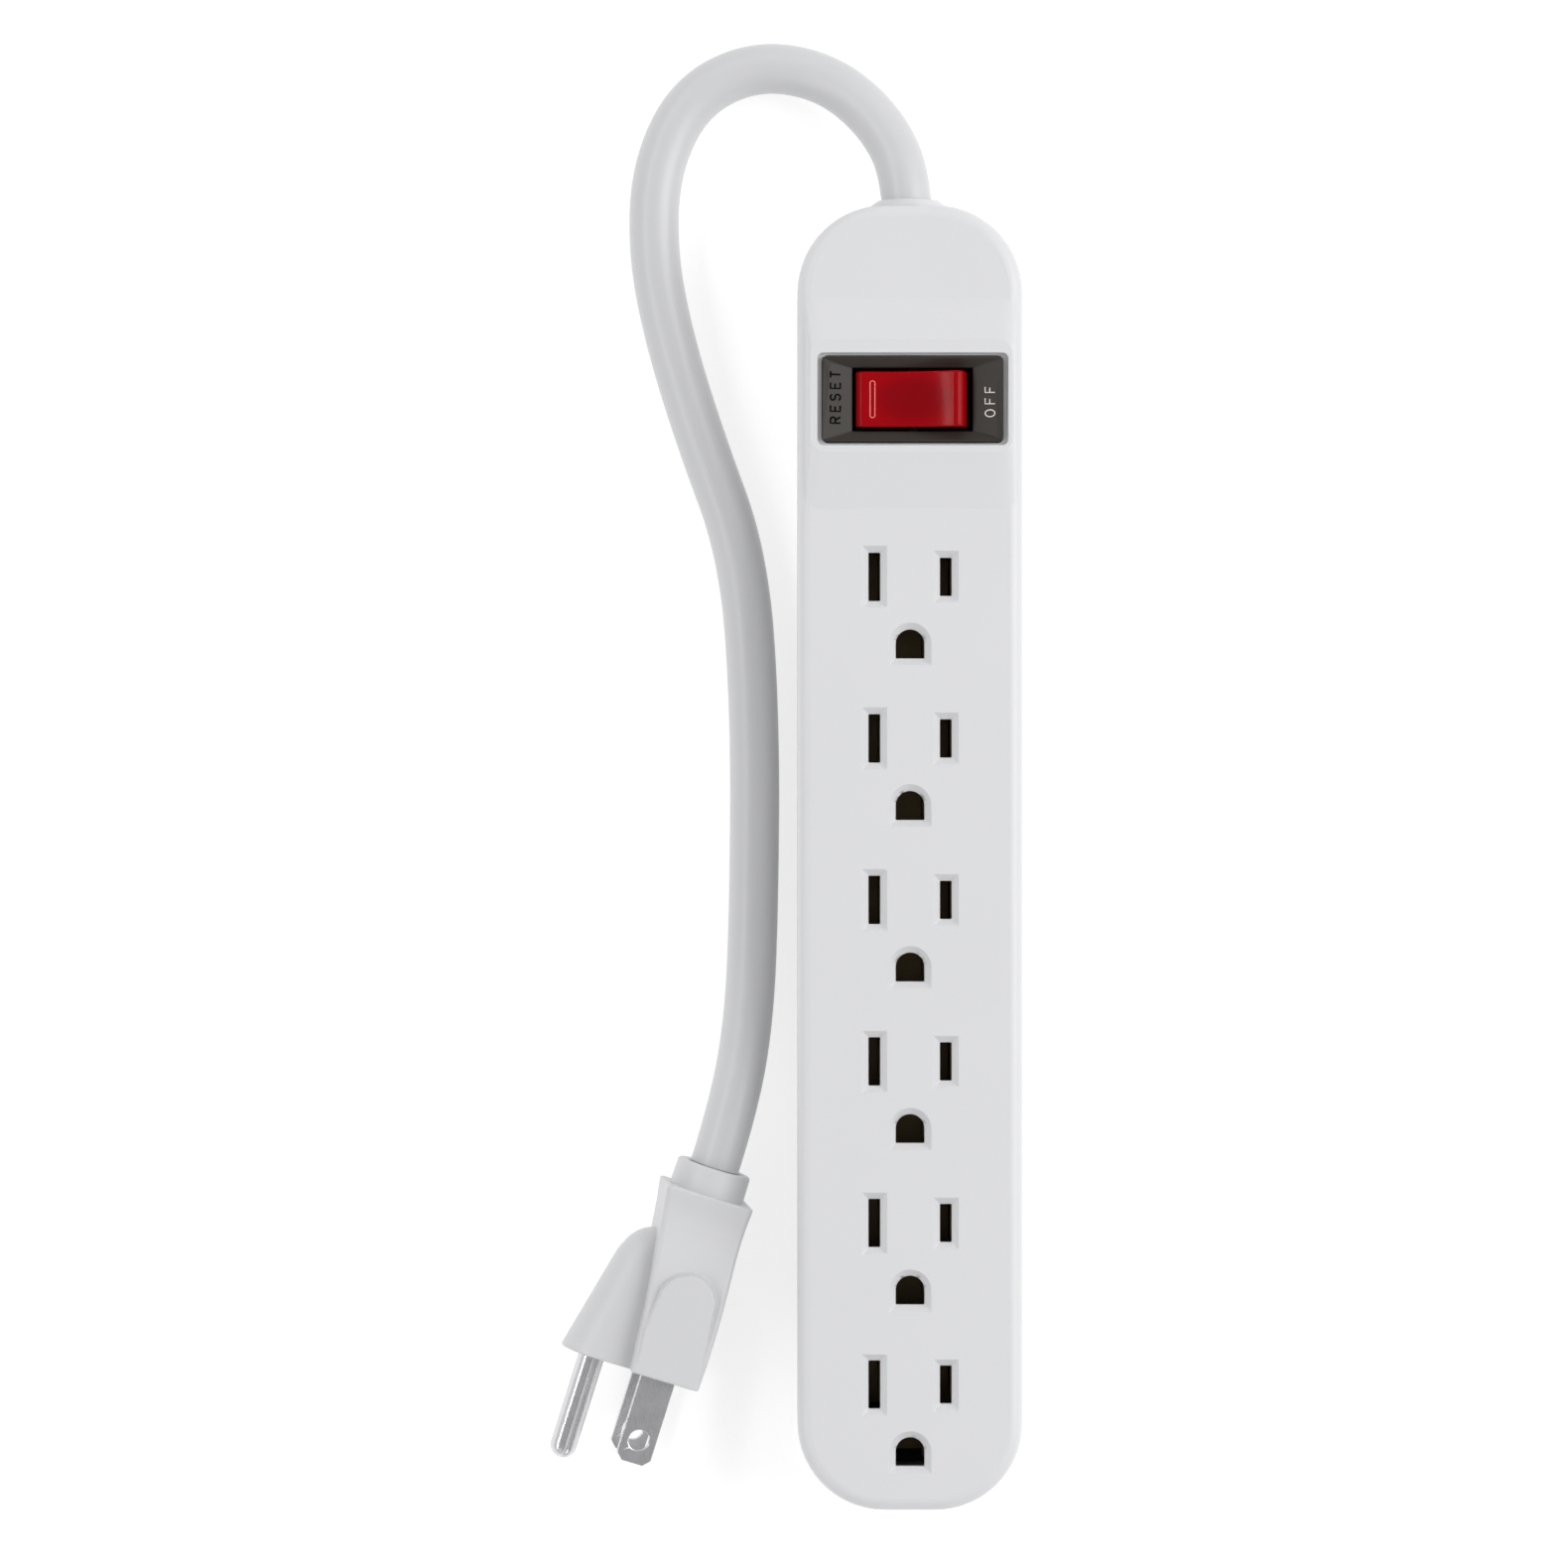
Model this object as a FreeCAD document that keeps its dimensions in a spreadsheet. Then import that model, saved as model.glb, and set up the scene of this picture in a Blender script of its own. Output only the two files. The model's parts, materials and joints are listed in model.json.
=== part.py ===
"""Six-outlet power strip lying flat on its back, with its cord and grounded plug beside it.

X runs across the strip, Y along it (the cord leaves the +Y end), Z up out of the outlet face.
The origin is the middle of the back. Millimetres and degrees.
"""
import FreeCAD
import Part
import math
import os
import Sketcher
from FreeCAD import Placement, Rotation, Vector

DRIVING_SIZES = {
    # case
    "case_width": 40.0, "case_length": 232.0, "case_height": 27.0, "case_corner": 15.5,
    "split_height": 13.0, "wall": 2.0, "face_wall": 2.4, "floor_wall": 2.0, "face_round": 2.4,
    # case screws: rows of two, set in from the sides and from both ends
    "screw_rows": 3, "screw_low_inset": 17.0, "screw_high_inset": 15.0, "screw_side_inset": 6.0,
    "boss_radius": 3.0, "screw_radius": 1.4, "screw_head_radius": 2.4, "screw_head_depth": 2.0,
    "screw_length": 19.0, "screw_play": 0.2, "screw_sunk": 0.3, "driver_slot": 0.6,
    "driver_depth": 0.9,
    # keyholes in the back, the upper one set in from the cord end
    "keyhole_inset": 41.0, "keyhole_spacing": 150.0, "keyhole_eye_radius": 4.0,
    "keyhole_slot_radius": 2.1, "keyhole_run": 7.0, "keyhole_head_depth": 2.2,
    "keyhole_skin": 1.0, "keyhole_margin": 1.5,
    # outlets, the first one below the switch
    "outlet_count": 6, "outlet_from_switch": 31.4, "outlet_pitch": 28.7,
    "blade_half_pitch": 6.35, "neutral_slot_length": 8.6, "line_slot_length": 6.8,
    "slot_width": 2.1, "bevel": 1.2, "ground_hole_radius": 2.56, "ground_drop": 11.9,
    "ground_flat": 2.6,
    # raised switch island
    "island_shift": 0.55, "island_length": 19.9, "island_inset": 2.1, "island_foot_inset": 1.2,
    "island_rise": 2.0, "island_sink": 0.7, "island_corner": 2.6,
    "island_crest": 0.3, "island_crest_end": 1.3, "island_crest_side": 0.3,
    "upper_ramp": 7.5, "lower_ramp": 10.0, "recess_margin": 1.0, "recess_end_margin": 0.55,
    "recess_depth": 1.2, "bezel_play": 0.15,
    # switch, measured from the cord end of the case and down from its pivot
    "switch_inset": 34.7, "switch_x": 0.4, "bezel_width": 31.8, "bezel_length": 15.2,
    "bezel_below": 0.3, "bezel_corner": 0.9, "bezel_slope_depth": 1.5, "bezel_lip": 0.4,
    "bezel_side": 5.2, "bezel_edge": 1.95, "housing_wall": 1.7, "housing_wall_x": 2.0,
    "housing_drop": 15.0, "housing_floor": 2.0, "flange_lip": 1.5, "flange_thick": 2.0,
    "pivot_shift": 0.12, "pivot_drop": 5.0, "pin_radius": 1.0, "pin_play": 0.05,
    "rocker_half": 9.9, "rocker_crest_half": 9.1, "rocker_gap": 0.7, "rocker_crest": 5.6,
    "rocker_dip": 4.2, "rocker_end_low": 0.6, "rocker_heel": 0.9, "rocker_belly": 1.5,
    "crest_round": 0.6, "rocker_tilt": 9.0, "tail_half": 2.2, "tail_depth": 6.0,
    "bore_top": 1.9, "plunger_radius": 1.2, "plunger_play": 0.1, "plunger_top": 4.8,
    "plunger_tip": 9.6, "spring_wire": 0.4, "spring_turns": 4,
    "lamp_radius": 1.5, "lamp_length": 6.0, "lamp_offset": 5.2, "lamp_lift": 1.8,
    "resistor_radius": 0.9, "lamp_play": 0.3, "pocket_top": 3.4,
    "arm_drop": 10.3, "arm_half": 8.0, "arm_width": 5.0, "arm_thick": 0.8, "arm_tilt": 5.0,
    "contact_x": 6.4, "contact_radius": 1.2, "contact_thick": 0.4,
    "tab_thick": 0.8, "tab_width": 4.75, "tab_reach": 3.4, "tab_x": 8.2,
    "foot_thick": 0.4, "foot_inner_x": 4.0, "post_gap": 0.1, "leaf_inset": 0.75,
    # contact strips and their tray
    "tray_edge": 2.2, "tray_tail": 4.5, "tray_nose": 2.0, "tray_under": 3.2,
    "tray_thick": 2.0, "tray_rail": 2.0, "window_play": 0.3, "rib_inner_x": 3.3,
    "rib_thick": 0.8, "rib_height": 16.0,
    "bus_thick": 0.8, "bus_width": 3.9, "bus_nose": 10.1, "bus_tail": 4.0,
    "clip_height": 15.0, "leaf_thick": 0.5, "blade_gap": 1.9, "pin_gap": 4.9,
    "leaf_length": 7.0, "ground_leaf_length": 4.0, "ground_clip_height": 12.0,
    "tab_height": 5.4,
    # cord, gland and wires
    "cord_radius": 4.5, "wire_radius": 1.3, "lamp_wire_radius": 0.8, "gland_flange_radius": 6.95,
    "gland_proud": 2.0, "gland_flange_thick": 1.0, "gland_body_radius": 6.0, "gland_collar_radius": 7.2,
    "gland_collar_length": 3.0, "gland_play": 0.2, "cord_play": 0.05, "gland_grip": 0.4,
    "gland_cone_radius": 5.6, "jacket_inset": 6.0,
    # plug
    "plug_x": -45.7, "plug_y": -93.1, "plug_lift": 11.3, "plug_turn": -17.5, "plug_roll": 7.0,
    "plug_half_thick": 10.4, "plug_length": 33.8, "plug_cord_x": -0.9,
    "plug_left_x": 5.6, "plug_right_x": 7.3, "plug_lip_half": 8.0, "plug_neck_half": 7.6,
    "lobe_half_thick": 6.5, "lobe_reach": 17.8, "lobe_length": 24.8, "collar_radius": 6.85,
    "collar_length": 4.9, "trunk_round": 2.4, "lobe_round": 3.0,
    "blade_thick": 1.5, "blade_width": 6.35, "blade_length": 15.9, "blade_root": 8.0,
    "blade_hole_radius": 1.9, "blade_hole_back": 4.2, "blade_chamfer": 1.2,
    "ground_pin_radius": 2.38, "ground_pin_length": 19.5, "pin_nose": 2.1,
}

# Places that follow from the driving sizes, as expressions in them.
PLACES = {
    "switch_y": "(case_length / 2 - switch_inset)",
    "island_y": "(switch_y + island_shift)",
    "outlet_first_y": "(switch_y - outlet_from_switch)",
    "outlets_run": "(outlet_pitch * (outlet_count - 1))",
    "last_outlet_y": "(outlet_first_y - outlets_run)",
    "screw_side_x": "(case_width / 2 - screw_side_inset)",
    "keyhole_high_y": "(case_length / 2 - keyhole_inset)",
    "keyhole_low_y": "(keyhole_high_y - keyhole_spacing)",
    "bus_high_y": "(outlet_first_y + bus_nose)",
    "tray_high_y": "(bus_high_y + tray_nose)",
    "tray_low_y": "(last_outlet_y - ground_drop - tray_tail)",
    "tray_half_width": "(blade_half_pitch + bus_width / 2 + tray_edge)",
    "tray_top": "(tray_under + tray_thick)",
    "jacket_end_y": "(case_length / 2 - jacket_inset)",
    "gland_z": "split_height",
    "face_under": "(case_height - face_wall)",
    "island_top": "(case_height + island_rise)",
    "bezel_top": "(island_top - bezel_below)",
    "well_width": "(bezel_width - 2 * bezel_side)",
    "well_length": "(bezel_length - 2 * bezel_edge)",
    "housing_width": "(well_width + 2 * housing_wall_x)",
    "housing_length": "(well_length + 2 * housing_wall)",
    "pivot_x": "(switch_x + pivot_shift)",
    "pivot_z": "(island_top - pivot_drop)",
    "housing_bottom": "(pivot_z - housing_drop)",
    "chamber_floor": "(housing_bottom + housing_floor)",
    "tab_bottom": "(housing_bottom - tab_reach)",
    "line_tab_x": "(switch_x + tab_x)",
    "lamp_tab_x": "(switch_x - tab_x)",
    "rocker_thick": "(well_length - 2 * rocker_gap)",
    "arm_pivot_z": "(pivot_z - arm_drop)",
}

# Middle line of the cord, from its jacket end inside the case to the plug's collar.
CORD_ROUTE = [
    (0.0, 110.0, 13.0), (0.0, 122.0, 13.0), (-4.9, 132.8, 10.5), (-14.5, 141.4, 7.0),
    (-27.5, 143.9, 4.9), (-39.3, 138.2, 4.6), (-45.6, 125.5, 4.6), (-46.3, 110.0, 4.6),
    (-43.4, 94.5, 4.6), (-37.7, 76.0, 4.6), (-29.7, 54.5, 4.6), (-27.6, 25.0, 4.6),
    (-27.9, -12.0, 4.7), (-28.9, -31.0, 7.0),
]
CORD_LAST_RUN = 11.0
# Where the three conductors leave the cut end of the jacket, about its middle line.
PAIR_X = 1.5
PAIR_LIFT = 0.8
GROUND_DROP = 1.8
# How far a conductor's insulation beds down beside its tab.
WIRE_SINK = 0.1

doc = FreeCAD.newDocument("power_strip")
sheet = doc.addObject("Spreadsheet::Sheet", "Sizes")


def fill_sheet():
    for row, (alias, value) in enumerate(DRIVING_SIZES.items(), start=1):
        sheet.set(f"A{row}", alias)
        sheet.set(f"B{row}", str(value))
        sheet.setAlias(f"B{row}", alias)
    doc.recompute()


def spell(expression, prefix):
    """An expression with its places spelled out and its aliases given a prefix."""
    spelled = []
    word = ""
    for letter in expression + " ":
        if letter.isalnum() or letter == "_":
            word += letter
            continue
        if word in PLACES:
            word = spell(PLACES[word], prefix)
        elif word in DRIVING_SIZES:
            word = prefix + word
        spelled.append(word + letter)
        word = ""
    return "".join(spelled).strip()


def size(expression):
    """Value of an expression in driving sizes and places."""
    return float(sheet.evalExpression(spell(expression, "")))


def from_sheet(expression):
    """The same expression as a document expression, with every alias named through the sheet."""
    return spell(expression, "Sizes.")


def new_body(name):
    body = doc.addObject("PartDesign::Body", name)
    body.Label = name
    body.AllowCompound = True
    return body


def origin_item(body, role):
    return next(item for item in body.Origin.OriginFeatures if item.Role == role)


def new_sketch(body, name, role, height="0"):
    """Sketch on one of the body's origin planes, lifted along the plane's normal."""
    sketch = body.newObject("Sketcher::SketchObject", f"{body.Name}_{name}")
    sketch.AttachmentSupport = [(origin_item(body, role), "")]
    sketch.MapMode = "FlatFace"
    sketch.setExpression("AttachmentOffset.Base.z", from_sheet(height))
    return sketch


def pin_point(sketch, geometry, point, across, up):
    for kind, expression in (("DistanceX", across), ("DistanceY", up)):
        value = size(expression)
        number = sketch.addConstraint(
            Sketcher.Constraint(kind, -1, 1, geometry, point, value))
        sketch.setExpression(f"Constraints[{number}]", from_sheet(expression))


def polygon(sketch, corners):
    """Closed outline through corners given as pairs of expressions."""
    places = [Vector(size(across), size(up), 0) for across, up in corners]
    first = sketch.GeometryCount
    total = len(corners)
    for index in range(total):
        edge = Part.LineSegment(places[index], places[(index + 1) % total])
        sketch.addGeometry(edge, False)
    for index in range(total):
        follower = first + (index + 1) % total
        sketch.addConstraint(Sketcher.Constraint("Coincident", first + index, 2, follower, 1))
    for index, (across, up) in enumerate(corners):
        pin_point(sketch, first + index, 1, across, up)


def rectangle(sketch, across, up, width, height):
    left, right = f"({across}) - ({width}) / 2", f"({across}) + ({width}) / 2"
    low, high = f"({up}) - ({height}) / 2", f"({up}) + ({height}) / 2"
    polygon(sketch, [(left, low), (right, low), (right, high), (left, high)])


def circle(sketch, across, up, radius):
    ring = Part.Circle(Vector(size(across), size(up), 0), Vector(0, 0, 1), size(radius))
    number = sketch.addGeometry(ring, False)
    pin_point(sketch, number, 3, across, up)
    held = sketch.addConstraint(Sketcher.Constraint("Radius", number, size(radius)))
    sketch.setExpression(f"Constraints[{held}]", from_sheet(radius))


def feature(body, kind, name, sketch, length=None, both=False, reverse=False, taper=None):
    item = body.newObject(f"PartDesign::{kind}", f"{body.Name}_{name}")
    item.Profile = sketch
    if length is not None:
        item.setExpression("Length", from_sheet(length))
    if both:
        item.SideType = "Symmetric"
    item.Reversed = reverse
    if taper is not None:
        item.TaperAngle = taper
    doc.recompute()
    return item


def pad(body, name, sketch, length, **options):
    return feature(body, "Pad", name, sketch, length, **options)


def pocket(body, name, sketch, length, **options):
    """Pocket that must take material away."""
    before = body.Shape.Volume
    item = feature(body, "Pocket", name, sketch, length, **options)
    if body.Shape.Volume > before - 1e-6:
        raise RuntimeError(f"{item.Name} cuts nothing")
    return item


def fillet(body, name, radius, wanted):
    """Rounds the edges of the body that the test picks."""
    doc.recompute()
    base = body.Tip
    names = [f"Edge{n}" for n, edge in enumerate(base.Shape.Edges, start=1) if wanted(edge)]
    item = body.newObject("PartDesign::Fillet", f"{body.Name}_{name}")
    item.Base = (base, names)
    item.setExpression("Radius", from_sheet(radius))
    doc.recompute()
    return item


def along(body, name, originals, axis, length, count):
    """Repeats features in a row."""
    item = body.newObject("PartDesign::LinearPattern", f"{body.Name}_{name}")
    item.Originals = originals
    item.Direction = (origin_item(body, axis), [""])
    item.setExpression("Length", from_sheet(length))
    item.setExpression("Occurrences", from_sheet(count))
    body.Tip = item
    doc.recompute()
    return item


# ---------------------------------------------------------------- case

def screw_places():
    """Expressions for the screws' places: pairs in rows along the case."""
    rows = int(size("screw_rows"))
    run = "(case_length - screw_low_inset - screw_high_inset) / (screw_rows - 1)"
    return [(f"{side} * screw_side_x", f"screw_low_inset - case_length / 2 + {row} * {run}")
            for row in range(rows) for side in (-1, 1)]


def rounded_outline(sketch, inset):
    """The case's plan, drawn in by an inset."""
    rounded_rectangle(sketch, "0", "0", f"case_width - 2 * ({inset})",
                      f"case_length - 2 * ({inset})", f"case_corner - ({inset})")


def make_top_cover():
    body = new_body("top_cover")
    outline = new_sketch(body, "outline", "XY_Plane", "split_height")
    rounded_outline(outline, "0")
    pad(body, "block", outline, "case_height - split_height")
    top = size("case_height")
    fillet(body, "face_edge", "face_round",
           lambda edge: edge.BoundBox.ZMin > top - 0.01)
    hollow = new_sketch(body, "hollow", "XY_Plane", "split_height")
    rounded_outline(hollow, "wall")
    pocket(body, "inside", hollow, "case_height - face_wall - split_height", reverse=True)
    add_island(body)
    bosses = new_sketch(body, "bosses", "XY_Plane", "split_height")
    for across, up in screw_places():
        circle(bosses, across, up, "boss_radius")
    pad(body, "boss_posts", bosses, "case_height - face_wall - split_height")
    pilots = new_sketch(body, "pilots", "XY_Plane", "split_height")
    for across, up in screw_places():
        circle(pilots, across, up, "screw_radius")
    pocket(body, "pilot_holes", pilots, "screw_length + screw_head_depth - split_height",
           reverse=True)
    cut_gland_hole(body)
    window = new_sketch(body, "window", "XY_Plane", "island_top")
    rounded_rectangle(window, "switch_x", "switch_y", "bezel_width + 2 * bezel_play",
                      "bezel_length + 2 * bezel_play", "bezel_corner + bezel_play")
    pocket(body, "switch_window", window, "island_top - face_under")
    recess = new_sketch(body, "recess", "XY_Plane", "island_top")
    rounded_rectangle(recess, "switch_x", "switch_y", "bezel_width + 2 * recess_margin",
                      "bezel_length + 2 * recess_end_margin", "bezel_corner + bezel_play")
    pocket(body, "switch_recess", recess, "recess_depth")
    cut_outlets(body)
    return body


def rounded_rectangle(sketch, across, up, width, height, radius):
    """Rectangle with quarter rounds, given as expressions."""
    half_x = size(f"({width}) / 2 - ({radius})")
    half_y = size(f"({height}) / 2 - ({radius})")
    reach = size(radius)
    quarters = [(1, 1), (-1, 1), (-1, -1), (1, -1)]
    arcs = []
    for turn, (sign_x, sign_y) in enumerate(quarters):
        middle = Vector(size(across) + sign_x * half_x, size(up) + sign_y * half_y, 0)
        ring = Part.Circle(middle, Vector(0, 0, 1), reach)
        start = turn * math.pi / 2
        arcs.append(sketch.addGeometry(Part.ArcOfCircle(ring, start, start + math.pi / 2), False))
        held = sketch.addConstraint(Sketcher.Constraint("Radius", arcs[-1], reach))
        sketch.setExpression(f"Constraints[{held}]", from_sheet(radius))
        pin_point(sketch, arcs[-1], 3,
                  f"({across}) + {sign_x} * (({width}) / 2 - ({radius}))",
                  f"({up}) + {sign_y} * (({height}) / 2 - ({radius}))")
    for index, one in enumerate(arcs):
        two = arcs[(index + 1) % len(arcs)]
        side = Part.LineSegment(sketch.getPoint(one, 2), sketch.getPoint(two, 1))
        number = sketch.addGeometry(side, False)
        sketch.addConstraint(Sketcher.Constraint("Tangent", one, 2, number, 1))
        sketch.addConstraint(Sketcher.Constraint("Tangent", number, 2, two, 1))


def add_island(body):
    """Raised island around the switch, with a ramp up to it on each side."""
    steeper = "(1 + island_sink / island_rise)"
    foot_low = f"(island_y - island_length / 2 - lower_ramp * {steeper})"
    foot_high = f"(island_y + island_length / 2 + upper_ramp * {steeper})"
    foot = new_sketch(body, "island_foot", "XY_Plane", "case_height - island_sink")
    rounded_rectangle(foot, "0", f"({foot_low} + {foot_high}) / 2",
                      "case_width - 2 * island_foot_inset", f"{foot_high} - {foot_low}",
                      "island_corner")
    sections = []
    for name, drop, grow in (("shoulder", "island_crest", 1), ("crown", "0", 0)):
        level = new_sketch(body, f"island_{name}", "XY_Plane", f"island_top - {drop}")
        rounded_rectangle(
            level, "switch_x / 2", "island_y",
            f"case_width - 2 * (island_inset - {grow} * island_crest_side)",
            f"island_length + 2 * {grow} * island_crest_end", "island_corner")
        sections.append(level)
    island = body.newObject("PartDesign::AdditiveLoft", "top_cover_island")
    island.Profile = foot
    island.Sections = sections
    island.Ruled = True
    doc.recompute()


def cut_gland_hole(body):
    """Round hole through the +Y end wall, half in each shell."""
    hole = new_sketch(body, "gland_hole", "XZ_Plane", "-case_length / 2")
    circle(hole, "0", "gland_z", "gland_body_radius + gland_play")
    pocket(body, "gland_way", hole, "2 * wall", reverse=True)


def slot_pair(sketch, grow):
    for sign, length in ((-1, "neutral_slot_length"), (1, "line_slot_length")):
        rectangle(sketch, f"{sign} * blade_half_pitch", "outlet_first_y",
                  f"slot_width + 2 * ({grow})", f"{length} + 2 * ({grow})")


def ground_shape(sketch, grow):
    """Ground hole: round toward the slots and flat away from them."""
    radius = size(f"ground_hole_radius + ({grow})")
    flat = size(f"ground_flat + ({grow})")
    centre_y = size("outlet_first_y - ground_drop")
    middle = Vector(0, centre_y, 0)
    dome = sketch.addGeometry(Part.ArcOfCircle(
        Part.Circle(middle, Vector(0, 0, 1), radius), 0, math.pi), False)
    corners = [Vector(-radius, centre_y, 0), Vector(-radius, centre_y - flat, 0),
               Vector(radius, centre_y - flat, 0), Vector(radius, centre_y, 0)]
    sides = [sketch.addGeometry(Part.LineSegment(one, two), False)
             for one, two in zip(corners, corners[1:])]
    pin_point(sketch, dome, 3, "0", "outlet_first_y - ground_drop")
    held = sketch.addConstraint(Sketcher.Constraint("Radius", dome, radius))
    sketch.setExpression(f"Constraints[{held}]", from_sheet(f"ground_hole_radius + ({grow})"))
    sketch.addConstraint(Sketcher.Constraint("Coincident", dome, 2, sides[0], 1))
    sketch.addConstraint(Sketcher.Constraint("Coincident", sides[0], 2, sides[1], 1))
    sketch.addConstraint(Sketcher.Constraint("Coincident", sides[1], 2, sides[2], 1))
    sketch.addConstraint(Sketcher.Constraint("Coincident", sides[2], 2, dome, 1))
    pin_point(sketch, sides[1], 1, f"-(ground_hole_radius + ({grow}))",
              f"outlet_first_y - ground_drop - ground_flat - ({grow})")
    pin_point(sketch, sides[1], 2, f"ground_hole_radius + ({grow})",
              f"outlet_first_y - ground_drop - ground_flat - ({grow})")


def cut_outlets(body):
    """Blade slots and ground holes, each with a bevelled mouth, repeated down the face."""
    slots = new_sketch(body, "slots", "XY_Plane", "case_height")
    slot_pair(slots, "0")
    ground = new_sketch(body, "ground", "XY_Plane", "case_height")
    ground_shape(ground, "0")
    mouths = new_sketch(body, "slot_mouths", "XY_Plane", "case_height")
    slot_pair(mouths, "bevel")
    ground_mouth = new_sketch(body, "ground_mouth", "XY_Plane", "case_height")
    ground_shape(ground_mouth, "bevel")
    cuts = [
        pocket(body, "slot_cut", slots, "2 * face_wall"),
        pocket(body, "ground_cut", ground, "2 * face_wall"),
        pocket(body, "slot_bevel", mouths, "bevel", taper=-44.9),
        pocket(body, "ground_bevel", ground_mouth, "bevel", taper=-44.9),
    ]
    along(body, "outlets", cuts, "Y_Axis", "outlets_run", "outlet_count")
    body.Tip.Reversed = True
    doc.recompute()


def make_base_shell():
    body = new_body("base_shell")
    outline = new_sketch(body, "outline", "XY_Plane")
    rounded_outline(outline, "0")
    pad(body, "block", outline, "split_height")
    hollow = new_sketch(body, "hollow", "XY_Plane", "floor_wall")
    rounded_outline(hollow, "wall")
    pocket(body, "inside", hollow, "split_height - floor_wall", reverse=True)
    posts = new_sketch(body, "posts", "XY_Plane")
    for across, up in screw_places():
        circle(posts, across, up, "boss_radius")
    pad(body, "boss_posts", posts, "split_height")
    ways = new_sketch(body, "screw_ways", "XY_Plane")
    for across, up in screw_places():
        circle(ways, across, up, "screw_radius + screw_play")
    pocket(body, "screw_holes", ways, "split_height", reverse=True)
    sinks = new_sketch(body, "screw_sinks", "XY_Plane")
    for across, up in screw_places():
        circle(sinks, across, up, "screw_head_radius + screw_play")
    pocket(body, "head_sinks", sinks, "screw_head_depth", reverse=True)
    add_keyholes(body)
    cut_gland_hole(body)
    return body


def keyhole_block_size():
    width = "2 * (keyhole_eye_radius + keyhole_margin)"
    return width, f"keyhole_run + {width}"


def add_keyholes(body):
    """Two hanging keyholes, each with a closed pocket for the screw's head above the floor."""
    centres = ["keyhole_high_y", "keyhole_low_y"]
    blocks = new_sketch(body, "keyhole_blocks", "XY_Plane", "floor_wall / 2")
    width, length = keyhole_block_size()
    for centre in centres:
        rectangle(blocks, "0", centre, width, length)
    pad(body, "keyhole_cups", blocks, "floor_wall / 2 + keyhole_head_depth + keyhole_skin")
    eyes = new_sketch(body, "keyhole_eyes", "XY_Plane")
    for centre in centres:
        circle(eyes, "0", f"{centre} - keyhole_run / 2", "keyhole_eye_radius")
    pocket(body, "eyes", eyes, "floor_wall + keyhole_head_depth", reverse=True)
    slots = new_sketch(body, "keyhole_slots", "XY_Plane")
    for centre in centres:
        rectangle(slots, "0", centre, "2 * keyhole_slot_radius", "keyhole_run")
    pocket(body, "slots", slots, "floor_wall", reverse=True)
    ends = new_sketch(body, "keyhole_ends", "XY_Plane")
    for centre in centres:
        circle(ends, "0", f"{centre} + keyhole_run / 2", "keyhole_slot_radius")
    pocket(body, "slot_ends", ends, "floor_wall", reverse=True)
    heads = new_sketch(body, "keyhole_heads", "XY_Plane", "floor_wall")
    for centre in centres:
        rectangle(heads, "0", centre, "2 * (keyhole_eye_radius - screw_play)", "keyhole_run")
    pocket(body, "head_space", heads, "keyhole_head_depth", reverse=True)
    return body


def make_case_screws():
    """The six case screws, driven in from the back, as one group of separate solids."""
    body = new_body("case_screws")
    heads = new_sketch(body, "heads", "XY_Plane", "screw_sunk")
    shanks = new_sketch(body, "shanks", "XY_Plane", "screw_sunk")
    for across, up in screw_places():
        circle(heads, across, up, "screw_head_radius")
        circle(shanks, across, up, "screw_radius - screw_play / 4")
    pad(body, "head_discs", heads, "screw_head_depth - screw_sunk")
    pad(body, "threads", shanks, "screw_length")
    slots = new_sketch(body, "slots", "XY_Plane", "screw_sunk")
    for across, up in screw_places():
        rectangle(slots, across, up, "screw_head_radius", "driver_slot")
    pocket(body, "driver_slots", slots, "driver_depth", reverse=True)
    return body


# ---------------------------------------------------------------- contact strips

def make_contact_tray():
    """Insulating tray under the three contact strips, with a rib on each side of the ground."""
    body = new_body("contact_tray")
    plate = new_sketch(body, "plate", "XY_Plane", "tray_under")
    middle = "(tray_high_y + tray_low_y) / 2"
    rectangle(plate, "0", middle, "2 * tray_half_width", "tray_high_y - tray_low_y")
    pad(body, "deck", plate, "tray_thick")
    ribs = new_sketch(body, "ribs", "XY_Plane", "tray_under")
    for side in (-1, 1):
        rectangle(ribs, f"{side} * (rib_inner_x + rib_thick / 2)", middle, "rib_thick",
                  "tray_high_y - tray_low_y")
    pad(body, "rib_walls", ribs, "tray_thick + rib_height")
    legs = new_sketch(body, "legs", "XY_Plane", "floor_wall")
    for side in (-1, 1):
        rectangle(legs, f"{side} * (tray_half_width - tray_rail / 2)", middle, "tray_rail",
                  "tray_high_y - tray_low_y")
    pad(body, "leg_rails", legs, "tray_top - floor_wall")
    window = new_sketch(body, "window", "XY_Plane", "tray_under")
    width, length = keyhole_block_size()
    rectangle(window, "0", "keyhole_low_y", f"{width} + 2 * window_play",
              f"{length} + 2 * window_play")
    pocket(body, "keyhole_window", window, "tray_thick", reverse=True)
    return body


def bus_bar(name, across, low_y):
    """Flat strip lying on the tray, with a turned-up tab for its wire at the +Y end."""
    body = new_body(name)
    strip = new_sketch(body, "strip", "XY_Plane", "tray_top")
    rectangle(strip, across, f"(bus_high_y + ({low_y})) / 2", "bus_width",
              f"bus_high_y - ({low_y})")
    pad(body, "flat", strip, "bus_thick")
    tab = new_sketch(body, "tab", "XY_Plane", "tray_top")
    rectangle(tab, across, "bus_high_y - bus_thick / 2", "bus_width", "bus_thick")
    pad(body, "wire_tab", tab, "tab_height")
    return body


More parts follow.
